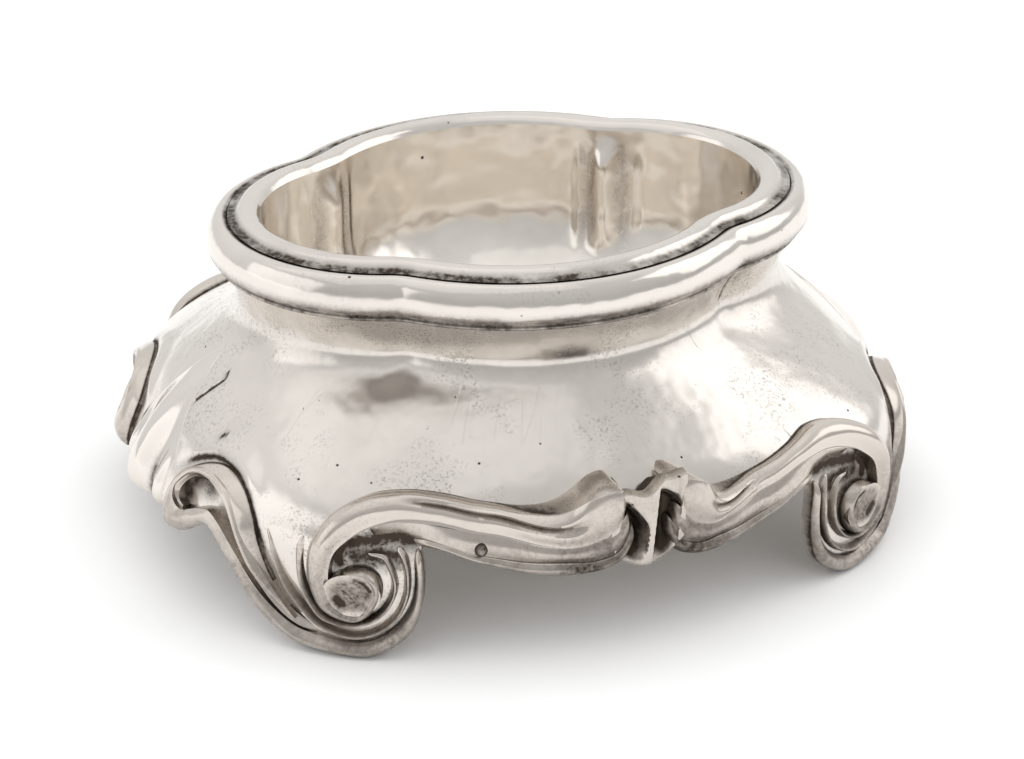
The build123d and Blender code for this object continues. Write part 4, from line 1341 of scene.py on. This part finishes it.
@dataclass
class Studio:
    """White floor, soft lights and the camera at the photograph's angle."""

    azimuth: float = -20.0
    elevation: float = 27.4
    distance_mm: float = 359.4
    focal_px: float = 3088.0
    image_width: int = 1024
    image_height: int = 759
    origin_row: float = 486.7
    sensor_mm: float = 36.0
    floor_half: float = 3.0
    paper_grain_mm: float = 2.0
    glossy_level: Flat = (0.52, 0.7)
    back_level: float = 0.3
    fill_level: float = 1.15

    def build(self) -> None:
        """Makes the camera, the world, the lights and the floor."""
        self._camera()
        self._world()
        self._floor()
        self._lights()

    def _camera(self) -> None:
        """Camera on the object's base centre, tilted so that the base sits low in the frame."""
        turn, lift = math.radians(self.azimuth), math.radians(self.elevation)
        back = Vector((math.sin(turn) * math.cos(lift), -math.cos(turn) * math.cos(lift), math.sin(lift)))
        right = Vector((math.cos(turn), math.sin(turn), 0.0))
        up = back.cross(right)
        tilt = math.atan((self.origin_row - self.image_height / 2) / self.focal_px)
        axis = back * math.cos(tilt) - up * math.sin(tilt)
        top = axis.cross(right)
        data = bpy.data.cameras.new("camera")
        data.sensor_width = self.sensor_mm
        data.lens = self.focal_px / self.image_width * self.sensor_mm
        data.clip_start, data.clip_end = 0.01, 20.0
        camera = bpy.data.objects.new("camera", data)
        bpy.context.scene.collection.objects.link(camera)
        turned = Matrix((right, top, axis)).transposed().to_4x4()
        camera.matrix_world = Matrix.Translation(back * self.distance_mm * MM) @ turned
        bpy.context.scene.camera = camera

    def _world(self) -> None:
        """White to the camera; a soft studio, brighter above, to everything else."""
        world = bpy.data.worlds.new("studio")
        bpy.context.scene.world = world
        world.use_nodes = True
        tree = world.node_tree
        tree.nodes.clear()
        path = add_node(tree, "LightPath")
        seen = add_node(
            tree, "Math", {"operation": "MAXIMUM"},
            i0=path.outputs["Is Camera Ray"], i1=path.outputs["Is Transmission Ray"],
        )
        way = add_node(tree, "TexCoord").outputs["Generated"]
        parts = add_node(tree, "SeparateXYZ", Vector=way)
        height = add_node(
            tree, "MapRange", Value=parts.outputs["Z"], From_Min=0.0, From_Max=0.9,
            To_Min=self.glossy_level[0], To_Max=self.glossy_level[1],
        )
        behind = add_node(
            tree, "MapRange", Value=parts.outputs["Y"], From_Min=-0.2, From_Max=0.7,
            To_Min=0.0, To_Max=self.back_level,
        )
        gloss = add_node(tree, "Math", {"operation": "ADD"}, i0=height, i1=behind)
        level = add_node(
            tree, "Mix", {"data_type": "FLOAT"}, i0=path.outputs["Is Glossy Ray"], i2=self.fill_level,
            i3=gloss,
        )
        room = add_node(tree, "Background", Strength=1.0)
        tree.links.new(level.outputs[0], room.inputs["Color"])
        white = add_node(tree, "Background", Color=(1.0, 1.0, 1.0, 1.0), Strength=1.0)
        mixed = add_node(tree, "MixShader", i0=seen, i1=room, i2=white)
        add_node(tree, "OutputWorld", Surface=mixed)

    def _floor(self) -> None:
        """Pale floor that keeps the shadow and is white away from it."""
        mesh = bpy.data.meshes.new("floor")
        half = self.floor_half
        corners = [(-half, -half, 0), (half, -half, 0), (half, half, 0), (-half, half, 0)]
        mesh.from_pydata(corners, [], [(0, 1, 2, 3)])
        floor = bpy.data.objects.new("floor", mesh)
        bpy.context.scene.collection.objects.link(floor)
        # flat white with a breath of grain, so that only the shadow is seen
        paper = bpy.data.materials.new("matt white studio paper")
        paper.use_nodes = True
        shader = paper.node_tree.nodes["Principled BSDF"]
        grain = add_node(paper.node_tree, "TexNoise", Scale=1 / (self.paper_grain_mm * MM))
        tone = add_node(
            paper.node_tree, "Mix", {"data_type": "RGBA"},
            i0=grain, i6=linear("#F7F7F7"), i7=linear("#FBFBFB"),
        )
        paper.node_tree.links.new(tone.outputs[2], shader.inputs["Base Color"])
        shader.inputs["Roughness"].default_value = 1.0
        shader.inputs["Specular IOR Level"].default_value = 0.0
        mesh.materials.append(paper)

    def _lights(self) -> None:
        """Soft boxes above and to the sides."""
        boxes = (
            ("overhead", (-0.15, 0.0, 0.8), 0.8, 0.4),
            ("left", (-0.88, 0.0, 0.33), 0.8, 1.1),
            ("right", (0.78, -0.06, 0.56), 0.7, 1.25),
        )
        for name, place, side, power in boxes:
            data = bpy.data.lights.new(name, "AREA")
            data.shape = "SQUARE"
            data.size = side
            data.energy = power
            lamp = bpy.data.objects.new(name, data)
            lamp.location = place
            lamp.rotation_mode = "QUATERNION"
            lamp.rotation_quaternion = Vector(place).to_track_quat("Z", "Y")
            bpy.context.scene.collection.objects.link(lamp)


# bright, near-white metal with clear reflections; broken dark lines in its grooves
POLISHED = SilverFinish(
    "raised sterling silver, polished, tarnished in the hollows",
    flecks=0.1, kept_grime_and_shade=0.35, solid_grime_and_shade=0.0,
)
# warmer and greyer, going to brown-black between the strands, and darker low down, partly from dirt and
# partly from painted shade
TONED = SilverFinish(
    "cast sterling silver, toned brown with age", metal="#D8D0C7", roughness=0.18, mottle=0.16, flecks=0.2,
)
# bright but blurred by handling, with faint speckled patches and a few pits
WORN = SilverFinish(
    "raised sterling silver, polished and rubbed", roughness=0.2, mottle=0.14, pit_spacing_mm=4.0, flecks=0.4,
)
# soft, creamy sheen that waves a little with the hammered wall
SATIN = SilverFinish(
    "raised sterling silver, satin from salt", metal="#F0EAE2", roughness=0.19, mottle=0.11, ripple_mm=9.0,
    ripple_depth=0.12, flecks=0.05,
)


def main() -> None:
    """Builds the salt and its studio."""
    logging.basicConfig(level=logging.INFO, format="%(name)s: %(message)s")
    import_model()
    bpy.context.scene.view_settings.view_transform = "Standard"
    form = Form()
    polished, toned, worn, satin = (finish.make() for finish in (POLISHED, TONED, WORN, SATIN))
    Studio().build()
    Bowl(form).build(satin)
    LipRing(form).build(polished)
    Collar(form).build(polished)
    Body(form).build(worn)
    SideScroll(form).build(toned)
    EndScroll(form).build(toned)
    Eye(form).build(toned)
    FlutedClasp(form).build(toned)
    SwelledClasp(form).build(polished)
    CastingPlug(form).build(worn)
    bpy.context.view_layer.update()


if __name__ == "__main__":
    main()
